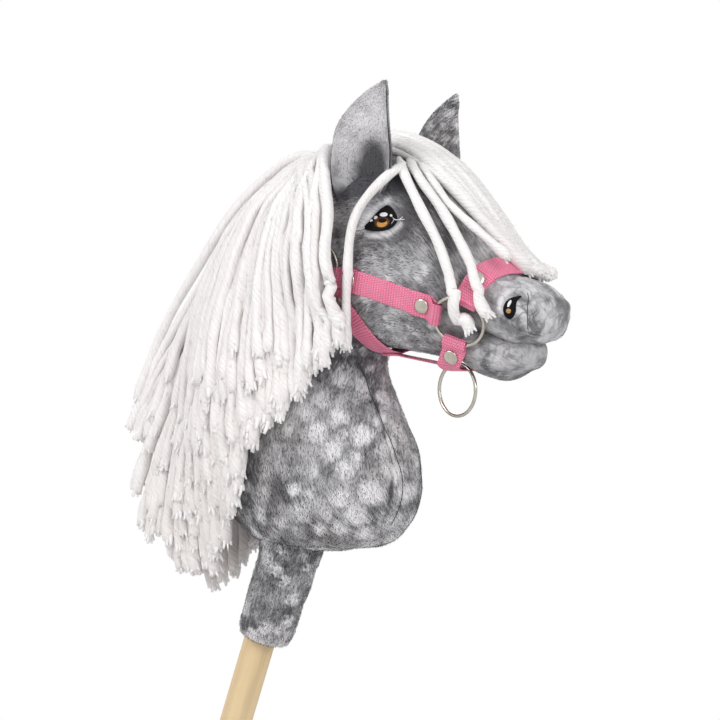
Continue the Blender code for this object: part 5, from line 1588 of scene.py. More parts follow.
def round_route(tree, start_mm, middle_mm, inside_mm, reach_out, slack):
    """From a right ring past a middle-plane point to the left ring, by rays to
    a pivot inside."""
    start, middle = side_point(*start_mm), side_point(*middle_mm)
    reach = unit(middle - start)
    pivot = start + reach * np.dot(side_point(*inside_mm) - start, reach)
    offset = np.dot(start - pivot, reach)
    half = math.pi / 2 - math.atan2(offset, side_hit(tree, start[0], start[2], 1.0)[1])

    def rays(t):
        angle = half * (2 * t - 1)
        outward = np.array([0.0, math.sin(angle), 0.0]) + reach * math.cos(angle)
        far = reach_out + (SIDE_REACH - reach_out) * math.sin(angle) ** 2
        return pivot + outward * far, -outward

    return Route(tree, rays, np.cross(reach, np.array([0.0, 1.0, 0.0])), slack)


class Hanging:
    """The slack chin strap: straight past the wire, then a cubic curve to a
    level low point, and its mirror image."""

    def __init__(self, ring, low_mm):
        low = side_point(*low_mm)
        past = RING_INNER_RADIUS + 2 * RING_WIRE_RADIUS
        start = ring.middle - ring.normal * MIDDLE_LIFT
        aim = low - start
        aim = unit(aim - ring.normal * np.dot(aim, ring.normal))
        self.across = np.array([1.0, 0.0, 0.0])
        side = facing(np.cross(ring.normal, aim), self.across)
        near = start + aim * past
        handles = np.array([near, near + aim * HANG_HANDLE_RING,
                            low - np.array([0.0, HANG_HANDLE_LOW, 0.0]), low])
        t = np.linspace(0.0, 1.0, 21)[:, None]
        curve = ((1 - t) ** 3 * handles[0] + 3 * t * (1 - t) ** 2 * handles[1]
                 + 3 * t**2 * (1 - t) * handles[2] + t**3 * handles[3])
        line = np.vstack([start, start + aim * past / 2, curve])
        sides = np.vstack([side, side, side * (1 - t) + self.across * t])
        flip = np.array([1.0, -1.0, 1.0])
        self.line = np.vstack([line, line[-2::-1] * flip])
        self.sides = np.vstack([sides, sides[-2::-1] * flip])
        self.lengths = lengths_of(self.line)
        self.length = self.lengths[-1]
        tangents = np.gradient(self.line, self.lengths, axis=0)
        self.normals = np.cross(self.sides, tangents)
        if np.dot(self.normals[0], ring.normal) < 0:
            self.normals = -self.normals

    def point(self, distance, offset, lift):
        middle, side, normal = [
            np.array([np.interp(distance, self.lengths, values[:, i]) for i in range(3)])
            for values in (self.line, self.sides, self.normals)]
        return middle + unit(side) * offset + unit(normal) * lift


def loop_rows(ring, route, backwards, gather):
    """Rows of left, middle and right points: from the free run over the ring's
    wire, round it and back under to the sewn tail."""
    wire = RING_INNER_RADIUS + RING_WIRE_RADIUS
    fold_radius = RING_WIRE_RADIUS + GAP + STRAP_THICKNESS / 2
    inner_edge = RING_INNER_RADIUS * math.cos(math.atan(min(gather, GATHER_NONE)))
    fold_middle = inner_edge - GAP + fold_radius - STRAP_THICKNESS / 2
    past_wire = wire + RING_WIRE_RADIUS + STRAP_THICKNESS
    offsets = (-0.5, 0.0, 0.5)

    def between(distance, offset):
        real = route.length - distance if backwards else distance
        return route.point(real, offset, MIDDLE_LIFT)

    aim = between(past_wire * 1.4, 0.0) - ring.middle
    aim = unit(aim - ring.normal * np.dot(aim, ring.normal))
    side = facing(np.cross(ring.normal, aim), route.across)
    middles, halves, apart = [], [], []
    for distance in (fold_middle + 1.5 * MM, wire + RING_WIRE_RADIUS):
        middles.append(ring.middle + aim * distance)
        halves.append(side * min(STRAP_WIDTH / 2, distance * gather))
        apart.append(fold_radius)
    for distance in np.linspace(past_wire + 3.5 * MM, RIVET_FROM_RING + TAIL_PAST_RIVET, 4):
        left, middle, right = (between(distance, STRAP_WIDTH * o) for o in offsets)
        middles.append(middle)
        halves.append((right - left) / 2)
        apart.append((STRAP_THICKNESS + LAYER_GAP) / 2)
    runs = np.gradient(np.array(middles), axis=0)
    outer, inner = [], []
    for middle, half, gap, run in zip(middles, halves, apart, runs):
        normal = facing(unit(np.cross(run, half)), ring.normal)
        if gap == fold_radius:
            normal = ring.normal
        outer.append([middle + half * 2 * o + normal * gap for o in offsets])
        inner.append([middle + half * 2 * o - normal * gap for o in offsets])
    fold = []
    for turn in np.linspace(0.0, math.pi, FOLD_STEPS):
        distance = fold_middle - math.sin(turn) * fold_radius
        half = min(STRAP_WIDTH / 2, distance * gather)
        fold.append([ring.middle + aim * distance + side * half * 2 * o
                     + ring.normal * math.cos(turn) * fold_radius for o in offsets])
    return outer[::-1] + fold + inner


def strap_rows(route, ring_a, ring_b, gather_a=GATHER_NONE, gather_b=GATHER_NONE):
    """All rows of a strap, from tail to tail."""
    first = loop_rows(ring_a, route, False, gather_a)
    last = loop_rows(ring_b, route, True, gather_b)
    start = RIVET_FROM_RING + TAIL_PAST_RIVET + 7.0 * MM
    end = route.length - start
    rows = list(reversed(first))
    if end > start:
        count = max(2, int(round((end - start) / STRAP_STEP)) + 1)
        for distance in np.linspace(start, end, count):
            rows.append([route.point(distance, STRAP_WIDTH * o, SKIN_GAP + STRAP_THICKNESS / 2)
                         for o in (-0.5, 0.0, 0.5)])
    return np.array(rows + last)


def strap_grid(rows, per_row=5, across=16):
    """Webbing slab round the smooth middle surface of the rows: over the width
    a parabola through left, middle and right, and a thickness that thins out
    in a round selvedge at both edges."""
    spots = np.linspace(0.0, len(rows) - 1.0, (len(rows) - 1) * per_row + 1)
    smooth = read_rows(rows, spots)
    share = np.sin(np.linspace(-math.pi / 2, math.pi / 2, across))
    left, middle, right = smooth[:, 0], smooth[:, 1], smooth[:, 2]
    w = share[None, :, None]
    sheet = (middle[:, None] * (1 - w**2) + left[:, None] * (w**2 - w) / 2
             + right[:, None] * (w**2 + w) / 2)
    along = np.gradient(sheet, axis=0)
    around = np.gradient(sheet, share, axis=1)
    normal = unit(np.cross(around, along))
    half = STRAP_THICKNESS / 2 * np.sqrt(np.maximum(0.0, 1 - np.abs(share) ** 12))
    top = sheet + normal * half[None, :, None]
    bottom = (sheet - normal * half[None, :, None])[:, -2:0:-1]
    width = np.linalg.norm(right - left, axis=1)
    place = share[None, :] * width[:, None] / 2
    return np.concatenate([top, bottom], axis=1), place, lengths_of(middle)


def strap_piece(name, rows):
    """Webbing slab through rows of left, middle and right points."""
    grid, place, along = strap_grid(rows)
    widths = np.concatenate([place, place[:, -2:0:-1], place[:, :1]], axis=1)
    piece = closed_tube(name, grid, along=along, widths=widths)
    piece.data.set_sharp_from_angle(angle=math.radians(50.0))
    return piece


def note_hard(piece):
    """Keep a piece's faces for the tree of what yarn lies over."""
    mesh = piece.data
    start = len(made.setdefault("hard_points", []))
    made["hard_points"] += [v.co.copy() for v in mesh.vertices]
    made.setdefault("hard_faces", []).extend(
        [start + k for k in p.vertices] for p in mesh.polygons)


@kept
def hard_tree():
    """Search tree over the webbing, rings and rivets."""
    return BVHTree.FromPolygons(made["hard_points"], made["hard_faces"])


@kept
def halter():
    """Rings, routes and strap rows of the halter."""
    tree = guide_tree()
    cheek, throat = ({side: Ring(tree, place, side) for side, _ in SIDES}
                     for place in (CHEEK_RING, THROAT_RING))
    straps, rivets = {}, {}
    for side, word in SIDES:
        route = side_route(tree, CHEEK_RING, THROAT_RING, side)
        straps["cheek_strap_" + word] = strap_rows(route, cheek[side], throat[side],
                                                   gather_b=THROAT_GATHER)
        rivets["rivet_cheek_front_" + word] = (route, False)
        rivets["rivet_cheek_rear_" + word] = (route, True)
    routes = {
        "noseband": round_route(tree, CHEEK_RING, NOSE_TOP, NOSE_INSIDE, SIDE_REACH, 0.0),
        "chin_strap": Hanging(cheek[-1], CHIN_LOW),
        "throat_strap": round_route(tree, THROAT_RING, THROAT_LOW, THROAT_INSIDE, THROAT_REACH,
                                    THROAT_SLACK),
        "crown_strap": round_route(tree, THROAT_RING, POLL_TOP, POLL_INSIDE, SIDE_REACH, 0.0),
    }
    for name, route in routes.items():
        rings = cheek if name in ("noseband", "chin_strap") else throat
        gather = THROAT_GATHER if name == "throat_strap" else GATHER_NONE
        straps[name] = strap_rows(route, rings[-1], rings[1], gather, gather)
        short = name.removesuffix("_strap").removesuffix("band")
        rivets["rivet_%s_right" % short] = (route, False)
        rivets["rivet_%s_left" % short] = (route, True)
    straps["jaw_strap"] = jaw_rows(routes["chin_strap"], routes["throat_strap"])
    return cheek, throat, straps, rivets


def jaw_rows(chin, throat):
    """Strap under the jaw: a sewn tab on the chin strap, a straight run, and a
    tab on the throat strap."""
    lift = GAP + STRAP_THICKNESS / 2
    tabs = []
    for route, side, rise in ((chin, JAW_STRAP_SIDE, SKIN_GAP - lift),
                              (throat, 0.0, SKIN_GAP + STRAP_THICKNESS + lift)):
        middle = route.length / 2 + side
        tabs.append([[route.point(middle + STRAP_WIDTH * o * JAW_STRAP_NARROW,
                                  STRAP_WIDTH * reach, rise) for o in (-0.5, 0.0, 0.5)]
                     for reach in (JAW_TAB_REACH, -JAW_TAB_REACH)])
    tabs = np.array(tabs)
    shares = np.linspace(0.0, 1.0, 8)[1:-1, None, None]
    run = tabs[0, 1] * (1 - shares) + tabs[1, 0] * shares
    return np.concatenate([tabs[0], run, tabs[1]])


def make_straps():
    """All straps of the halter, and the tree that presses on the pile."""
    for name, rows in halter()[2].items():
        piece = strap_piece(name + "_webbing", rows)
        put(piece, "horse", name, slot="webbing", material="woven_webbing")
        note_hard(piece)
    made["straps"] = BVHTree.FromPolygons(made["hard_points"], made["hard_faces"])


def ring_piece(name, middle, normal):
    """Round wire bent to a ring: a circle carried round a circle, slightly
    thicker where its ends were brazed."""
    big, small = 160, 22
    a, b = full_turn(big)[:, None], full_turn(small)[None, :]
    wire = RING_WIRE_RADIUS * (1 + 0.06 * np.exp(-((a - 4.2) / 0.03) ** 2))
    out = RING_INNER_RADIUS + RING_WIRE_RADIUS + wire * np.cos(b)
    local = np.stack([out * np.cos(a), out * np.sin(a), wire * np.sin(b)], axis=-1)
    turn = np.array(align(normal, middle))
    grid = local @ turn[:3, :3].T + turn[:3, 3]
    i, j = np.meshgrid(np.arange(big), np.arange(small), indexing="ij")
    k, m = (i + 1) % big, (j + 1) % small
    quads = np.stack([i * small + j, k * small + j, k * small + m, i * small + m], axis=-1)
    return mesh_piece(name, grid.reshape(-1, 3), [quads.reshape(-1, 4)])


def make_rings():
    """Cheek and throat rings in their folds, and the lead ring under the chin."""
    cheek, throat = halter()[:2]
    for kind, rings in (("cheek_ring_", cheek), ("throat_ring_", throat)):
        for side, word in SIDES:
            name = kind + word
            piece = ring_piece(name + "_wire", rings[side].middle, rings[side].normal)
            put(piece, name, name, slot="nickel", material="nickel_plate")
            note_hard(piece)
    joint = next(j for j in frame["joints"] if j["name"] == "lead_ring_swing")
    up = np.array([0.0, 0.0, 1.0])
    middle = np.array(joint["pos_m"]) - up * (RING_INNER_RADIUS + RING_WIRE_RADIUS)
    piece = ring_piece("lead_ring_wire", middle, unit(np.cross(np.array(joint["axis"]), up)))
    put(piece, "lead_ring", "lead_ring", slot="nickel", material="nickel_plate")


def make_rivets():
    """Domed rivet caps: a low dome turned about the rivet's axis, with a
    rounded rim, over a short shank."""
    rise = RIVET_HEIGHT - 0.5 * MM
    turns = np.linspace(0.02, math.pi / 2, 14)
    radii = np.concatenate([RIVET_RADIUS * np.sin(turns) ** 0.9, [RIVET_RADIUS * 0.99,
                            RIVET_RADIUS * 0.94, 2.0 * MM, 2.0 * MM]])
    heights = np.concatenate([0.5 * MM + rise * np.cos(turns), [0.2 * MM, 0.0, 0.0, -3.0 * MM]])
    angles = full_turn(48)
    local = np.stack([radii[:, None] * np.cos(angles), radii[:, None] * np.sin(angles),
                      heights[:, None] * np.ones_like(angles)], axis=-1)
    for name, (route, backwards) in halter()[3].items():
        lift = SKIN_GAP + 2 * STRAP_THICKNESS + LAYER_GAP + RIVET_GAP
        spots = []
        for past, offset in ((0, 0), (4, 0), (-4, 0), (0, 4), (0, -4)):
            distance, offset = RIVET_FROM_RING + past * MM, offset * MM
            real = route.length - distance if backwards else distance
            spots.append(route.point(real, offset, lift))
        normal = facing(unit(np.cross(spots[1] - spots[2], spots[3] - spots[4])),
                        spots[0] - side_point(*HEAD_MIDDLE))
        turn = np.array(align(normal, spots[0] - normal * (RIVET_GAP - 0.2 * MM)))
        piece = closed_tube(name + "_cap", local @ turn[:3, :3].T + turn[:3, 3])
        piece.data.set_sharp_from_angle(angle=math.radians(40.0))
        put(piece, "horse", name, slot="nickel", material="nickel_plate")
        note_hard(piece)


# Embroidery

def tangent_frame(place_mm, side):
    """Middle, forward, upward and normal of the skin at a side-view place."""
    tree = skin_tree()
    spot = side_point(*place_mm)
    reach = 8.0 * MM
    a, b, c = [side_hit(tree, spot[0] + dx, spot[2] + dz, side)
               for dx, dz in ((-reach, -reach), (reach, -reach), (0.0, reach))]
    normal = facing(unit(np.cross(b - a, c - a)), (0.0, side, 0.0))
    forward = np.array([1.0, 0.0, 0.0])
    forward = unit(forward - normal * (forward @ normal))
    upward = np.cross(forward, normal) * side
    return side_hit(tree, spot[0], spot[2], side), forward, upward, normal


def patch_piece(name, place_mm, side, outline, middle_mm, thickness, base, thread, *nodes):
    """Embroidered patch: rings from its middle to its outline on the skin, a
    low crown over them, and a rounded edge that goes down into the pile.
    `outline` gives x and z in millimetres from the place by angle."""
    origin, forward, upward, normal = tangent_frame(place_mm, side)
    tree = skin_tree()
    rings, sides = 12, 72
    edge = np.stack(outline(full_turn(sides)), axis=-1)
    centre = np.array(middle_mm, float)
    share = np.concatenate([np.linspace(0.03, 0.97, rings), [1.0, 1.0]])
    height = np.concatenate([base + thickness * (1 - 0.55 * np.linspace(0, 1, rings) ** 3),
                             [base + thickness * 0.25, -0.8]])
    flat = centre + (edge - centre)[None] * share[:, None, None]
    start = (origin + forward * flat[..., :1] * MM + upward * flat[..., 1:] * MM
             + normal * PATCH_RAY * MM)
    grid = np.empty_like(start)
    for i, j in np.ndindex(*start.shape[:2]):
        grid[i, j] = hit(tree, start[i, j], -normal)
    grid = grid + normal * height[:, None, None] * MM
    faces = tube_shell(len(share), sides)
    every = with_poles(flat)
    piece = mesh_piece(name, with_poles(grid), faces, [every[block] * MM for block in faces])
    put(piece, "horse", *nodes, slot="thread", material=thread)


def closed_outline(points):
    """Outline function through hand-placed points, by a smooth closed curve."""
    points = np.asarray(points, float)
    loop = np.concatenate([points[-1:], points, points[:2]])

    def outline(angles):
        spots = 1 + np.asarray(angles) / (2 * math.pi) * len(points)
        curve = read_rows(loop, spots)
        return curve[:, 0], curve[:, 1]
    return outline


def oval(x, z, wide, tall, lean):
    """Outline function of a leaning oval."""
    def outline(angles):
        a, b = wide * np.cos(angles), tall * np.sin(angles)
        return (x + a * math.cos(lean) - b * math.sin(lean),
                z + a * math.sin(lean) + b * math.cos(lean))
    return outline


def oval_patches(ovals, place_mm, side, word):
    """Patches of a table of ovals, over a patch that they lie on."""
    for name, x, z, wide, tall, lean, thickness, base, thread in ovals:
        patch_piece("%s_%s" % (name, word), place_mm, side, oval(x, z, wide, tall, lean), (x, z),
                    thickness, base, thread)


def make_eyes():
    """Each eye: black almond, brown rim and amber iris, dark pupil, white
    glints, and fine white lines at its corners."""
    almond = closed_outline(EYE_OUTLINE)
    for side, word in SIDES:
        patch_piece("eye_almond_" + word, EYE_PLACE, side, almond, (0.5, 0.0), 1.0, 0.6,
                    "black_thread", "eye_patch_" + word)
        oval_patches(EYE_OVALS, EYE_PLACE, side, word)
        stitched_lines("eye_stitches_" + word, EYE_STITCHES, EYE_PLACE, side, 0.42,
                       "white_thread")


def thread_piece(name, paths, radius, thread):
    """Thin round threads along paths."""
    grid = tube_grids(paths, np.full((1, paths.shape[1], 1), radius), 8)[0]
    put(joined_tubes(name, grid), "horse", slot="thread", material=thread)


def stitched_lines(name, lines, place_mm, side, radius_mm, thread, lift_mm=1.0):
    """Fine raised stitches along lines on the skin: thin tubes, half sunk."""
    origin, forward, upward, normal = tangent_frame(place_mm, side)
    tree = skin_tree()
    paths = []
    for line in lines:
        flat = read_rows(line, np.linspace(0, len(line) - 1.0, STITCH_POINTS))
        start = (origin + forward * flat[:, :1] * MM + upward * flat[:, 1:] * MM
                 + normal * PATCH_RAY * MM)
        paths.append(np.array([hit(tree, p, -normal) for p in start]) + normal * lift_mm * MM)
    thread_piece(name, np.array(paths), radius_mm * MM, thread)


def make_gusset_seams():
    """Both seams of the neck's front gusset: a thin dark thread that lies in
    the groove, at the skin points nearest to the seam's line."""
    line = np.array(GUSSET_SEAM, float)
    line = read_rows(line, np.linspace(0, len(line) - 1.0, GUSSET_POINTS))
    for side, word in SIDES:
        spots = side_point(line[:, 0], line[:, 2], -side * line[:, 1])
        near = [skin_tree().find_nearest(Vector(spot)) for spot in spots]
        path = np.array([tuple(spot + normal * 0.2 * MM) for spot, normal, *_ in near])
        for _ in range(3):
            path[1:-1] = (path[:-2] + 2 * path[1:-1] + path[2:]) / 4
        thread_piece("gusset_seam_" + word, path[None], 0.32 * MM, "grey_thread")


def make_nostrils():
    """Each nostril: a black comma whose tail points up and forwards, a white
    glint and a tan dot, and the seams beside it."""
    seams = [np.array(seam) - NOSTRIL_PLACE for seam in NOSE_SEAMS]
    comma = closed_outline(NOSTRIL_OUTLINE)
    for side, word in SIDES:
        patch_piece("nostril_comma_" + word, NOSTRIL_PLACE, side, comma, (2.4, -2.0), 0.9, 0.6,
                    "black_thread", "nostril_patch_" + word)
        oval_patches(NOSTRIL_OVALS, NOSTRIL_PLACE, side, word)
        stitched_lines("nose_seams_" + word, seams, NOSTRIL_PLACE, side, 0.30, "grey_thread",
                       0.12)


# Yarn

def tube_grids(paths, radii, sides, rng=None):
    """Tubes round many paths at once, and the paths' tangents. A frame is carried
    along each path without twist. With random numbers, the radius swells round
    it in soft lobes that turn."""
    tangents = unit(np.gradient(paths, axis=1))
    count, steps = paths.shape[:2]
    normal = unit(np.cross(tangents[:, 0], np.array([0.31, 0.87, 0.38])))
    normals = [normal]
    for k in range(1, steps):
        normal = unit(normal - tangents[:, k] * np.sum(normal * tangents[:, k], axis=1)[:, None])
        normals.append(normal)
    normals = np.stack(normals, axis=1)
    binormals = np.cross(tangents, normals)
    turn = full_turn(sides)
    radius = np.broadcast_to(radii, (count, steps, 1)) * np.ones(sides)
    if rng is not None:
        phase = rng.uniform(0, 2 * math.pi, (count, 1, 1))
        twist = np.linspace(0.0, 9.0, steps)[None, :, None]
        radius = radius * (1 + 0.07 * np.sin(3 * turn + phase + twist)
                           + 0.05 * np.sin(2 * turn - phase + 1.7 * twist))
    grid = (paths[:, :, None] + normals[:, :, None] * (np.cos(turn) * radius)[..., None]
            + binormals[:, :, None] * (np.sin(turn) * radius)[..., None])
    return grid, tangents


def joined_tubes(name, grids, tone=None):
    """One mesh of many closed tubes, whose grids are counted first. Each reads
    its own part of the yarn's texture."""
    count, rings, sides = grids.shape[:3]
    each = rings * sides + 2
    poles = np.stack([grids[:, 0].mean(axis=1), grids[:, -1].mean(axis=1)], axis=1)
    points = np.concatenate([grids.reshape(count, -1, 3), poles], axis=1).reshape(-1, 3)
    starts = (np.arange(count) * each)[:, None, None]
    quads, *fans = tube_shell(rings, sides)
    quads = (quads[None] + starts).reshape(-1, 4)
    caps = (np.concatenate(fans)[None] + starts).reshape(-1, 3)
    steps = np.linalg.norm(np.diff(grids.mean(axis=2), axis=1), axis=-1)
    along = np.concatenate([np.zeros((count, 1)), np.cumsum(steps, axis=1)], axis=1)
    along = along + np.arange(count)[:, None] * 0.37
    turns = np.linspace(0.0, 2 * math.pi, sides + 1)
    widths = np.broadcast_to(turns * settings().yarn_radius, (rings, sides + 1))
    uvs = np.concatenate([tube_uv(line, widths) for line in along])
    cap_uvs = np.repeat(along[:, [0, -1]], sides, axis=1).reshape(-1)
    cap_uvs = np.stack([cap_uvs, np.zeros_like(cap_uvs)], axis=-1)[:, None].repeat(3, axis=1)
    attributes = None
    if tone is not None:
        flat = np.broadcast_to(tone[:, :, None], (count, rings, sides)).reshape(count, -1)
        ends = np.stack([tone[:, 0], tone[:, -1]], axis=1)
        attributes = {"tone": np.concatenate([flat, ends], axis=1).reshape(-1)}
    return mesh_piece(name, points, [quads, caps], [uvs, cap_uvs], attributes)


def yarn_piece(name, paths, seed, *nodes, painted_shade=0.0, fray=1.0):
    """Strands of soft yarn: lobed tubes that thin out at the cut end, with a
    fray of fibres there and stray hairs along them."""
    rng = np.random.default_rng(seed)
    count, steps = paths.shape[:2]
    s = settings()
    t = np.linspace(0.0, 1.0, steps)[None, :]
    radius = s.yarn_radius * rng.uniform(0.90, 1.20, (count, 1))
    wobble = np.sin(t * rng.uniform(14, 30, (count, 1)) + rng.uniform(0, 6, (count, 1)))
    radius = radius * (1 + 0.05 * wobble)
    radius = radius * (0.45 + 0.55 * np.clip(t / 0.05, 0, 1))
    tip = np.clip((t - 0.94) / 0.06, 0, 1)
    swell = np.sin(math.pi * np.clip((t - 0.90) / 0.12, 0, 1))
    radius = radius * (1 + 0.34 * swell)
    grid, tangents = tube_grids(paths, radius[..., None], YARN_SIDES, rng)
    jag = rng.uniform(-1.0, 1.0, (count, 1, YARN_SIDES)) * tip[..., None] ** 2 * 2.0 * MM
    grid = grid + tangents[:, :, None] * jag[..., None]
    ends = []
    for reach, width in ((0.45, 0.78), (0.75, 0.42)):
        last = paths[:, -1:, None] + tangents[:, -1:, None] * s.yarn_radius * reach
        ends.append(last + (grid[:, -1:] - paths[:, -1:, None]) * width)
    grid = np.concatenate([grid, *ends], axis=1)
    # Each strand's own random tone, plus painted shade that grows towards its hanging end
    tone = rng.uniform(0.0, 0.14, (count, 1)) + 0.10 * t**2 * np.ones((count, 1))
    tone = np.concatenate([tone, tone[:, -1:], tone[:, -1:]], axis=1)
    # Painted shade given for each strand
    tone = tone + np.broadcast_to(painted_shade, (count,))[:, None]
    put(joined_tubes(name, grid, tone), "horse", *nodes, slot="yarn", material="roving_yarn")
    fray_piece(name.replace("yarn", "fray"), paths, tangents, radius * fray, rng)
    stray_piece(name.replace("yarn", "strays"), paths, tangents, radius, rng)


def fray_piece(name, paths, tangents, radius, rng):
    """Fibres that splay from each strand's end: each starts inside it, follows
    its run, leans outwards and sags with the square of its length."""
    count = len(paths)
    many = count * FRAY_FIBRES
    start = np.repeat(paths[:, -1], FRAY_FIBRES, axis=0)
    run = np.repeat(tangents[:, -2], FRAY_FIBRES, axis=0)
    thick = np.repeat(radius[:, -5], FRAY_FIBRES)[:, None]
    out = unit(np.cross(run, rng.normal(size=(many, 3))))
    start = start + out * thick * rng.uniform(0.1, 0.80, (many, 1))
    start = start - run * thick * rng.uniform(0.2, 1.3, (many, 1))
    aim = unit(run + out * rng.uniform(0.05, 0.50, (many, 1)))
    size = rng.uniform(0.9, 1.75, (many, 1)) * thick
    t = np.linspace(0.0, 1.0, FRAY_STEPS)[None, :, None]
    curl = unit(np.cross(run, rng.normal(size=(many, 3))))
    curl = curl * size * rng.uniform(0.0, 0.35, (many, 1))
    fibres = start[:, None] + (aim * size)[:, None] * t + curl[:, None] * t**2
    fibres[..., 2] -= (size * 0.18) * t[..., 0] ** 2
    radii = (0.50 - 0.27 * t) * thick[:, None] * rng.uniform(0.75, 1.2, (many, 1, 1))
    grid = tube_grids(fibres, radii, 4)[0]
    put(joined_tubes(name, grid), "horse", slot="yarn", material="yarn_fibre")


def stray_piece(name, paths, tangents, radius, rng):
    """Short hairs that stand off the strands at random places round them."""
    count, steps = paths.shape[:2]
    many = count * STRAY_HAIRS
    i = np.repeat(np.arange(count), STRAY_HAIRS)
    k = rng.integers(2, steps - 1, many)
    share = rng.uniform(0, 1, (many, 1))
    middle = paths[i, k] * (1 - share) + paths[i, np.minimum(k + 1, steps - 1)] * share
    run = tangents[i, k]
    out = unit(np.cross(run, rng.normal(size=(many, 3))))
    root = middle + out * radius[i, k][:, None] * 0.85
    aim = unit(run * rng.uniform(-0.5, 1.0, (many, 1)) + out * rng.uniform(0.25, 0.9, (many, 1)))
    aim = aim * rng.uniform(2.2, 6.0, (many, 1)) * MM
    piece = spikes_piece(name, root, aim, out, rng.uniform(0.22, 0.40, many) * MM,
                         np.zeros(many), ["yarn_fibre"])
    put(piece, "horse", slot="yarn")


def heights_over(paths):
    """How far webbing, rings and rivets stand over the plush under each path
    point, spread to its neighbours and smoothed along the path."""
    tree, skin = hard_tree(), skin_tree()
    heights = np.zeros(paths.shape[:2])
    for i, k in np.ndindex(*heights.shape):
        near, normal = skin.find_nearest(Vector(paths[i, k]), OVER_REACH)[:2]
        if near is None:
            continue
        away = tree.ray_cast(near + normal * OVER_REACH, -normal, OVER_REACH)[3]
        if away is not None:
            heights[i, k] = OVER_REACH - away
    for turn in range(30):
        beside = np.pad(heights, ((0, 0), (1, 1)), mode="edge")
        if turn < 5:
            heights = np.maximum(heights, np.maximum(beside[:, :-2], beside[:, 2:]))
        else:
            heights = (beside[:, :-2] + 2 * heights + beside[:, 2:]) / 4
    return heights


def evenly(paths, count):
    """Points at equal steps along each path."""
    out = []
    for path in paths:
        fine = read_rows(path, np.linspace(0, len(path) - 1.0, 160))
        lengths = lengths_of(fine)
        marks = np.linspace(0.0, lengths[-1], count)
        out.append(np.stack([np.interp(marks, lengths, fine[:, k]) for k in range(3)], axis=-1))
    return np.array(out)


def pushed_out(paths, clearances):
    """Move path points that lie in the plush, or nearer to it than their
    clearance over what lies on it, outwards, and smooth the path, a few times."""
    tree = skin_tree()
    wanted = clearances + heights_over(paths)
    for turn in range(4):
        for i in range(paths.shape[0]):
            for k in range(1, paths.shape[1]):
                spot = Vector(paths[i, k])
                near, normal, _, distance = tree.find_nearest(spot, 0.09)
                if near is None:
                    continue
                inside = (spot - near).dot(normal) < 0
                if inside or distance < wanted[i, k]:
                    paths[i, k] = np.array(near + normal * wanted[i, k])
        if turn < 3:
            paths[:, 1:-1] = (paths[:, :-2] + 2 * paths[:, 1:-1] + paths[:, 2:]) / 4
    return paths


def mane_paths(seed, shorter):
    """Strands between the guides: a row number from poll to withers and a
    share from the inner to the outer guide, both a little uneven. A strand
    first runs out along the crest, nearer to the outer guide, and then drops
    to its own share. Those by the cheek end `shorter`. Gives the paths and
    each strand's row number."""
    s = settings()
    rng = np.random.default_rng(seed)
    rows, layers = s.mane_rows, s.mane_layers
    p, q = np.meshgrid(np.linspace(0.0, 1.0, rows), np.linspace(0.0, 1.0, layers), indexing="ij")
    p = np.clip(p + rng.uniform(-0.5, 0.5, p.shape) / rows, 0.0, 1.0).reshape(-1)
    q = np.clip(q + rng.uniform(-0.45, 0.45, q.shape) / layers, 0.0, 1.0).reshape(-1)
    outer = read_rows(np.array(MANE_OUTER, float), p * (len(MANE_OUTER) - 1))
    inner = read_rows(np.array(MANE_INNER, float), p * (len(MANE_INNER) - 1))
    down = np.linspace(0.0, 1.0, outer.shape[1])[None, :]
    share = (q[:, None] ** (0.62 + 0.62 * down))[..., None]
    mixed = inner * (1 - share) + outer * share
    reach = rng.uniform(0.84, 1.04, len(p)) * (1 - shorter * smooth_step(1.4 - 3 * p - 2 * q))
    paths = []
    for guide, part in zip(mixed, reach):
        spots = np.linspace(0.0, (guide.shape[0] - 1.0) * min(part, 1.0), GUIDE_POINTS)
        paths.append(read_rows(guide, spots))
    paths = np.array(paths)
    sway = rng.uniform(-1, 1, (len(p), 1, 3)) * np.array(MANE_SWAY)
    t = np.linspace(0.0, 1.0, GUIDE_POINTS)[None, :, None]
    wave = np.sin(t * rng.uniform(5, 11, (len(p), 1, 1)) + rng.uniform(0, 6, (len(p), 1, 1)))
    side = rng.uniform(-1, 1, (len(p), 1, 3)) * np.array(MANE_WAVE)
    paths = paths + sway * t**0.7 + wave * side * t
    world = side_point(paths[..., 0], paths[..., 1], paths[..., 2])
    world = evenly(world, MANE_POINTS)
    u = np.linspace(0.0, 1.0, MANE_POINTS)[None, :]
    layer = (1 - p)[:, None] * MANE_LAYERS * np.clip(u / 0.35, 0, 1)
    layer = layer + rng.uniform(0, 4.0, (len(p), 1))
    clear = (s.yarn_radius / MM + 0.4 + layer * np.clip(u / 0.12, 0, 1)) * MM
    return pushed_out(world, clear), p


def make_mane():
    """Both halves of the mane and the tape that its strands are sewn to."""
    for seed, side, word, shorter in ((31, 1.0, "right", 0.0), (32, -1.0, "left", 0.45)):
        paths, rows = mane_paths(seed, shorter)
        # Strands nearer the withers get more painted shade
        yarn_piece("mane_yarn_" + word, paths * np.array([1.0, side, 1.0]), seed + 10,
                   "mane_" + word, painted_shade=0.24 * rows)
    rows = read_rows(BODY_SECTIONS, np.linspace(6.6, 11.4, TAPE_POINTS))
    reach = 7.0 * MM / (rows[:, 4] * MM)
    angles = np.stack([-reach, np.zeros_like(reach), reach], axis=1)
    piece = strap_piece("mane_seam_tape", oval_points(rows, angles, SKIN_GAP + 0.75 * MM))
    put(piece, "horse", "mane_tape", slot="tape", material="seam_tape")


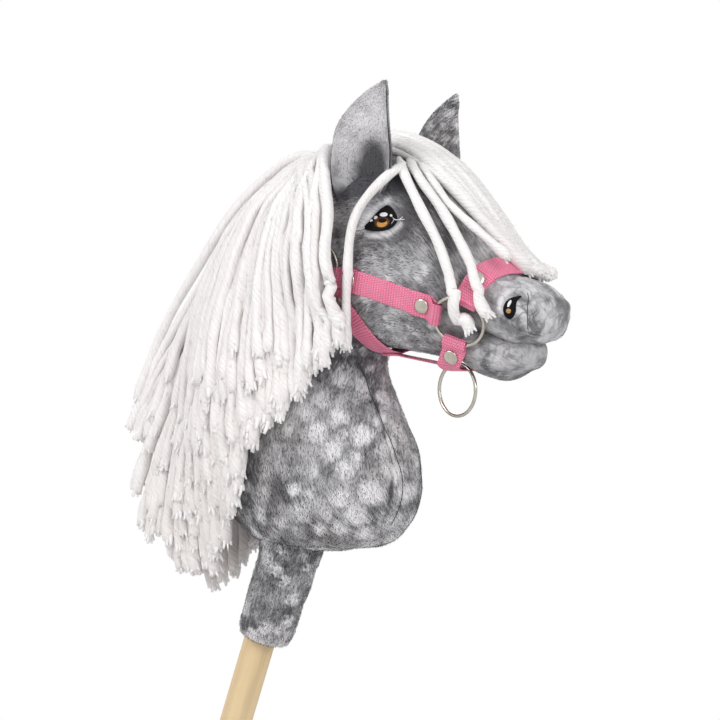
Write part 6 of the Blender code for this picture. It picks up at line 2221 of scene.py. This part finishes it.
def make_forelock():
    """Forelock: strands side by side over the forehead, from the poll to the
    nose, in rounded layers; the edges of the bundle are drawn in at its ends."""
    s = settings()
    rng = np.random.default_rng(51)
    count = s.forelock_strands
    across = rng.permutation(np.linspace(0.02, 0.98, count))
    layer = rng.uniform(0.0, 1.0, count)
    reach = rng.uniform(0.86, 0.955, count)
    paths = []
    for share, high, end in zip(across, layer, reach):
        spots = np.linspace(0.0, (len(FORELOCK_ROWS) - 1.0) * end, FORELOCK_POINTS)
        spot, near, far, thick = read_rows(FORELOCK_ROWS, spots).T
        angles = np.radians(near + (far - near) * share)
        crown = np.sqrt(np.maximum(0.0, 1 - (2 * share - 1) ** 2 * 0.85))
        lift = s.yarn_radius + (thick * MM - s.yarn_radius) * high * crown
        rows = read_rows(BODY_SECTIONS, spot)
        points = np.stack([oval_points(rows[k:k + 1], angles[k:k + 1][None], lift[k])[0, 0]
                           for k in range(len(spots))])
        paths.append(points)
    paths = evenly(np.array(paths), MANE_POINTS)
    clear = np.full(paths.shape[:2], s.yarn_radius + 0.3 * MM)
    yarn_piece("forelock_yarn", pushed_out(paths, clear), 52, "forelock", fray=0.7)


def strand_paths(lines):
    """Smooth curves through hand-placed side-view points, laid over the plush
    and over what lies on it."""
    paths = evenly([side_point(*np.array(line, float).T) for line in lines], STRAND_POINTS)
    return pushed_out(paths, np.full(paths.shape[:2], settings().yarn_radius + 0.3 * MM))


def make_strands():
    """Loose strands over the face and at the mane's front."""
    for number, paths in enumerate(strand_paths(STRANDS), start=1):
        yarn_piece("forelock_yarn_strand_%d" % number, paths[None], 60 + number,
                   "forelock_strand_%d" % number, fray=0.75)
    yarn_piece("face_yarn_strands", strand_paths(FACE_STRANDS), 65, fray=0.75)


# Stage

def make_stage():
    """Pale round floor that fades to white, soft lamps, and the camera."""
    turns = full_turn(FLOOR_SIDES)
    radii = np.linspace(0.02, FLOOR_RADIUS, FLOOR_RINGS)[:, None]
    grid = np.stack([radii * np.cos(turns), radii * np.sin(turns), 0.0 * radii * turns], axis=-1)
    points = np.concatenate([(grid + FLOOR_MIDDLE).reshape(-1, 3), [FLOOR_MIDDLE]])
    faces = [tube_faces(FLOOR_RINGS, FLOOR_SIDES),
             fan(np.arange(FLOOR_SIDES), len(points) - 1, True)]
    floor = mesh_piece("floor", points, faces, closed=False)
    floor.data.materials.append(material_of("floor_paint"))
    scene = bpy.context.scene
    world = scene.world or bpy.data.worlds.new("studio")
    scene.world = world
    world.use_nodes = True
    world.node_tree.nodes.clear()
    n = Nodes(world.node_tree)
    paths = n.add("ShaderNodeLightPath").outputs
    seen = n.math("MAXIMUM", paths["Is Camera Ray"],
                  n.math("MAXIMUM", paths["Is Glossy Ray"], paths["Is Transmission Ray"]))
    back = n.add("ShaderNodeBackground", {"Color": (1.0, 1.0, 1.0, 1.0),
                                          "Strength": n.plus(n.times(seen, 0.42), 0.58)})
    n.add("ShaderNodeOutputWorld", {0: back.outputs[0]})
    for name, place, target, size, power in LAMPS:
        data = bpy.data.lights.new(name, "AREA")
        data.shape, data.size, data.energy = "DISK", size, power
        lamp = bpy.data.objects.new(name, data)
        lamp.location = place
        lamp.rotation_mode = "QUATERNION"
        lamp.rotation_quaternion = (Vector(target) - Vector(place)).to_track_quat("-Z", "Y")
        scene.collection.objects.link(lamp)
    data = bpy.data.cameras.new("camera")
    data.lens, data.sensor_width = CAMERA_LENS, CAMERA_SENSOR
    data.clip_start, data.clip_end = 0.05, 20.0
    camera = bpy.data.objects.new("camera", data)
    camera.location = CAMERA_PLACE
    camera.rotation_euler = (math.pi / 2, 0.0, CAMERA_TURN)
    scene.collection.objects.link(camera)
    scene.camera = camera
    scene.view_settings.view_transform = "Standard"


# Operators, one for each piece or group of like pieces

def operator(identifier, label, doc, *steps):
    """Operator class that runs the given making functions in order."""
    def execute(self, context):
        for step in steps:
            step()
        return {"FINISHED"}
    return type("HORSE_OT_" + identifier, (bpy.types.Operator,), {
        "bl_idname": "hobby_horse." + identifier, "bl_label": label, "__doc__": doc,
        "bl_options": {"REGISTER", "UNDO"}, "execute": execute})


OPERATORS = (
    operator("stage", "Stage", "Add the floor, lamps and camera.", make_stage),
    operator("straps", "Halter Straps", "Lay the halter's webbing.", make_straps),
    operator("body", "Stuffed Body", "Make the stuffed neck and head.", make_body),
    operator("lip", "Lower Lip", "Make the lower lip.", make_lip),
    operator("sleeve", "Sleeve", "Make the sleeve round the stick.", make_sleeve),
    operator("stick", "Stick", "Make the wooden stick.", make_stick),
    operator("ears", "Ears", "Make both ears and their linings.", make_ears),
    operator("rings", "Rings", "Make the halter's rings.", make_rings),
    operator("rivets", "Rivets", "Make the halter's rivets.", make_rivets),
    operator("eyes", "Eyes", "Embroider the eyes.", make_eyes),
    operator("nostrils", "Nostrils", "Embroider the nostrils.", make_nostrils),
    operator("gusset_seams", "Gusset Seams", "Sew the neck's front seams.", make_gusset_seams),
    operator("mane", "Mane", "Hang the mane's yarn.", make_mane),
    operator("forelock", "Forelock", "Lay the forelock's yarn.", make_forelock),
    operator("strands", "Loose Strands", "Hang the loose strands.", make_strands),
)


class HORSE_PT_maker(bpy.types.Panel):
    """Panel with the horse's settings and makers."""

    bl_label = "Hobby Horse"
    bl_idname = "HORSE_PT_maker"
    bl_space_type = "VIEW_3D"
    bl_region_type = "UI"
    bl_category = "Hobby Horse"

    def draw(self, context):
        column = self.layout.column(align=True)
        for key in HorseSettings.__annotations__:
            column.prop(context.scene.hobby_horse, key)
        for maker in OPERATORS:
            column.operator(maker.bl_idname)


CLASSES = (HorseSettings, *OPERATORS, HORSE_PT_maker)


def register():
    for item in CLASSES:
        bpy.utils.register_class(item)
    bpy.types.Scene.hobby_horse = PointerProperty(type=HorseSettings)


def unregister():
    del bpy.types.Scene.hobby_horse
    for item in reversed(CLASSES):
        bpy.utils.unregister_class(item)


def main():
    """Build every piece, and write down the CAD's and the looks' boxes."""
    register()
    for maker in OPERATORS:
        getattr(bpy.ops.hobby_horse, maker.bl_idname.split(".")[1])()


if __name__ == "__main__":
    main()
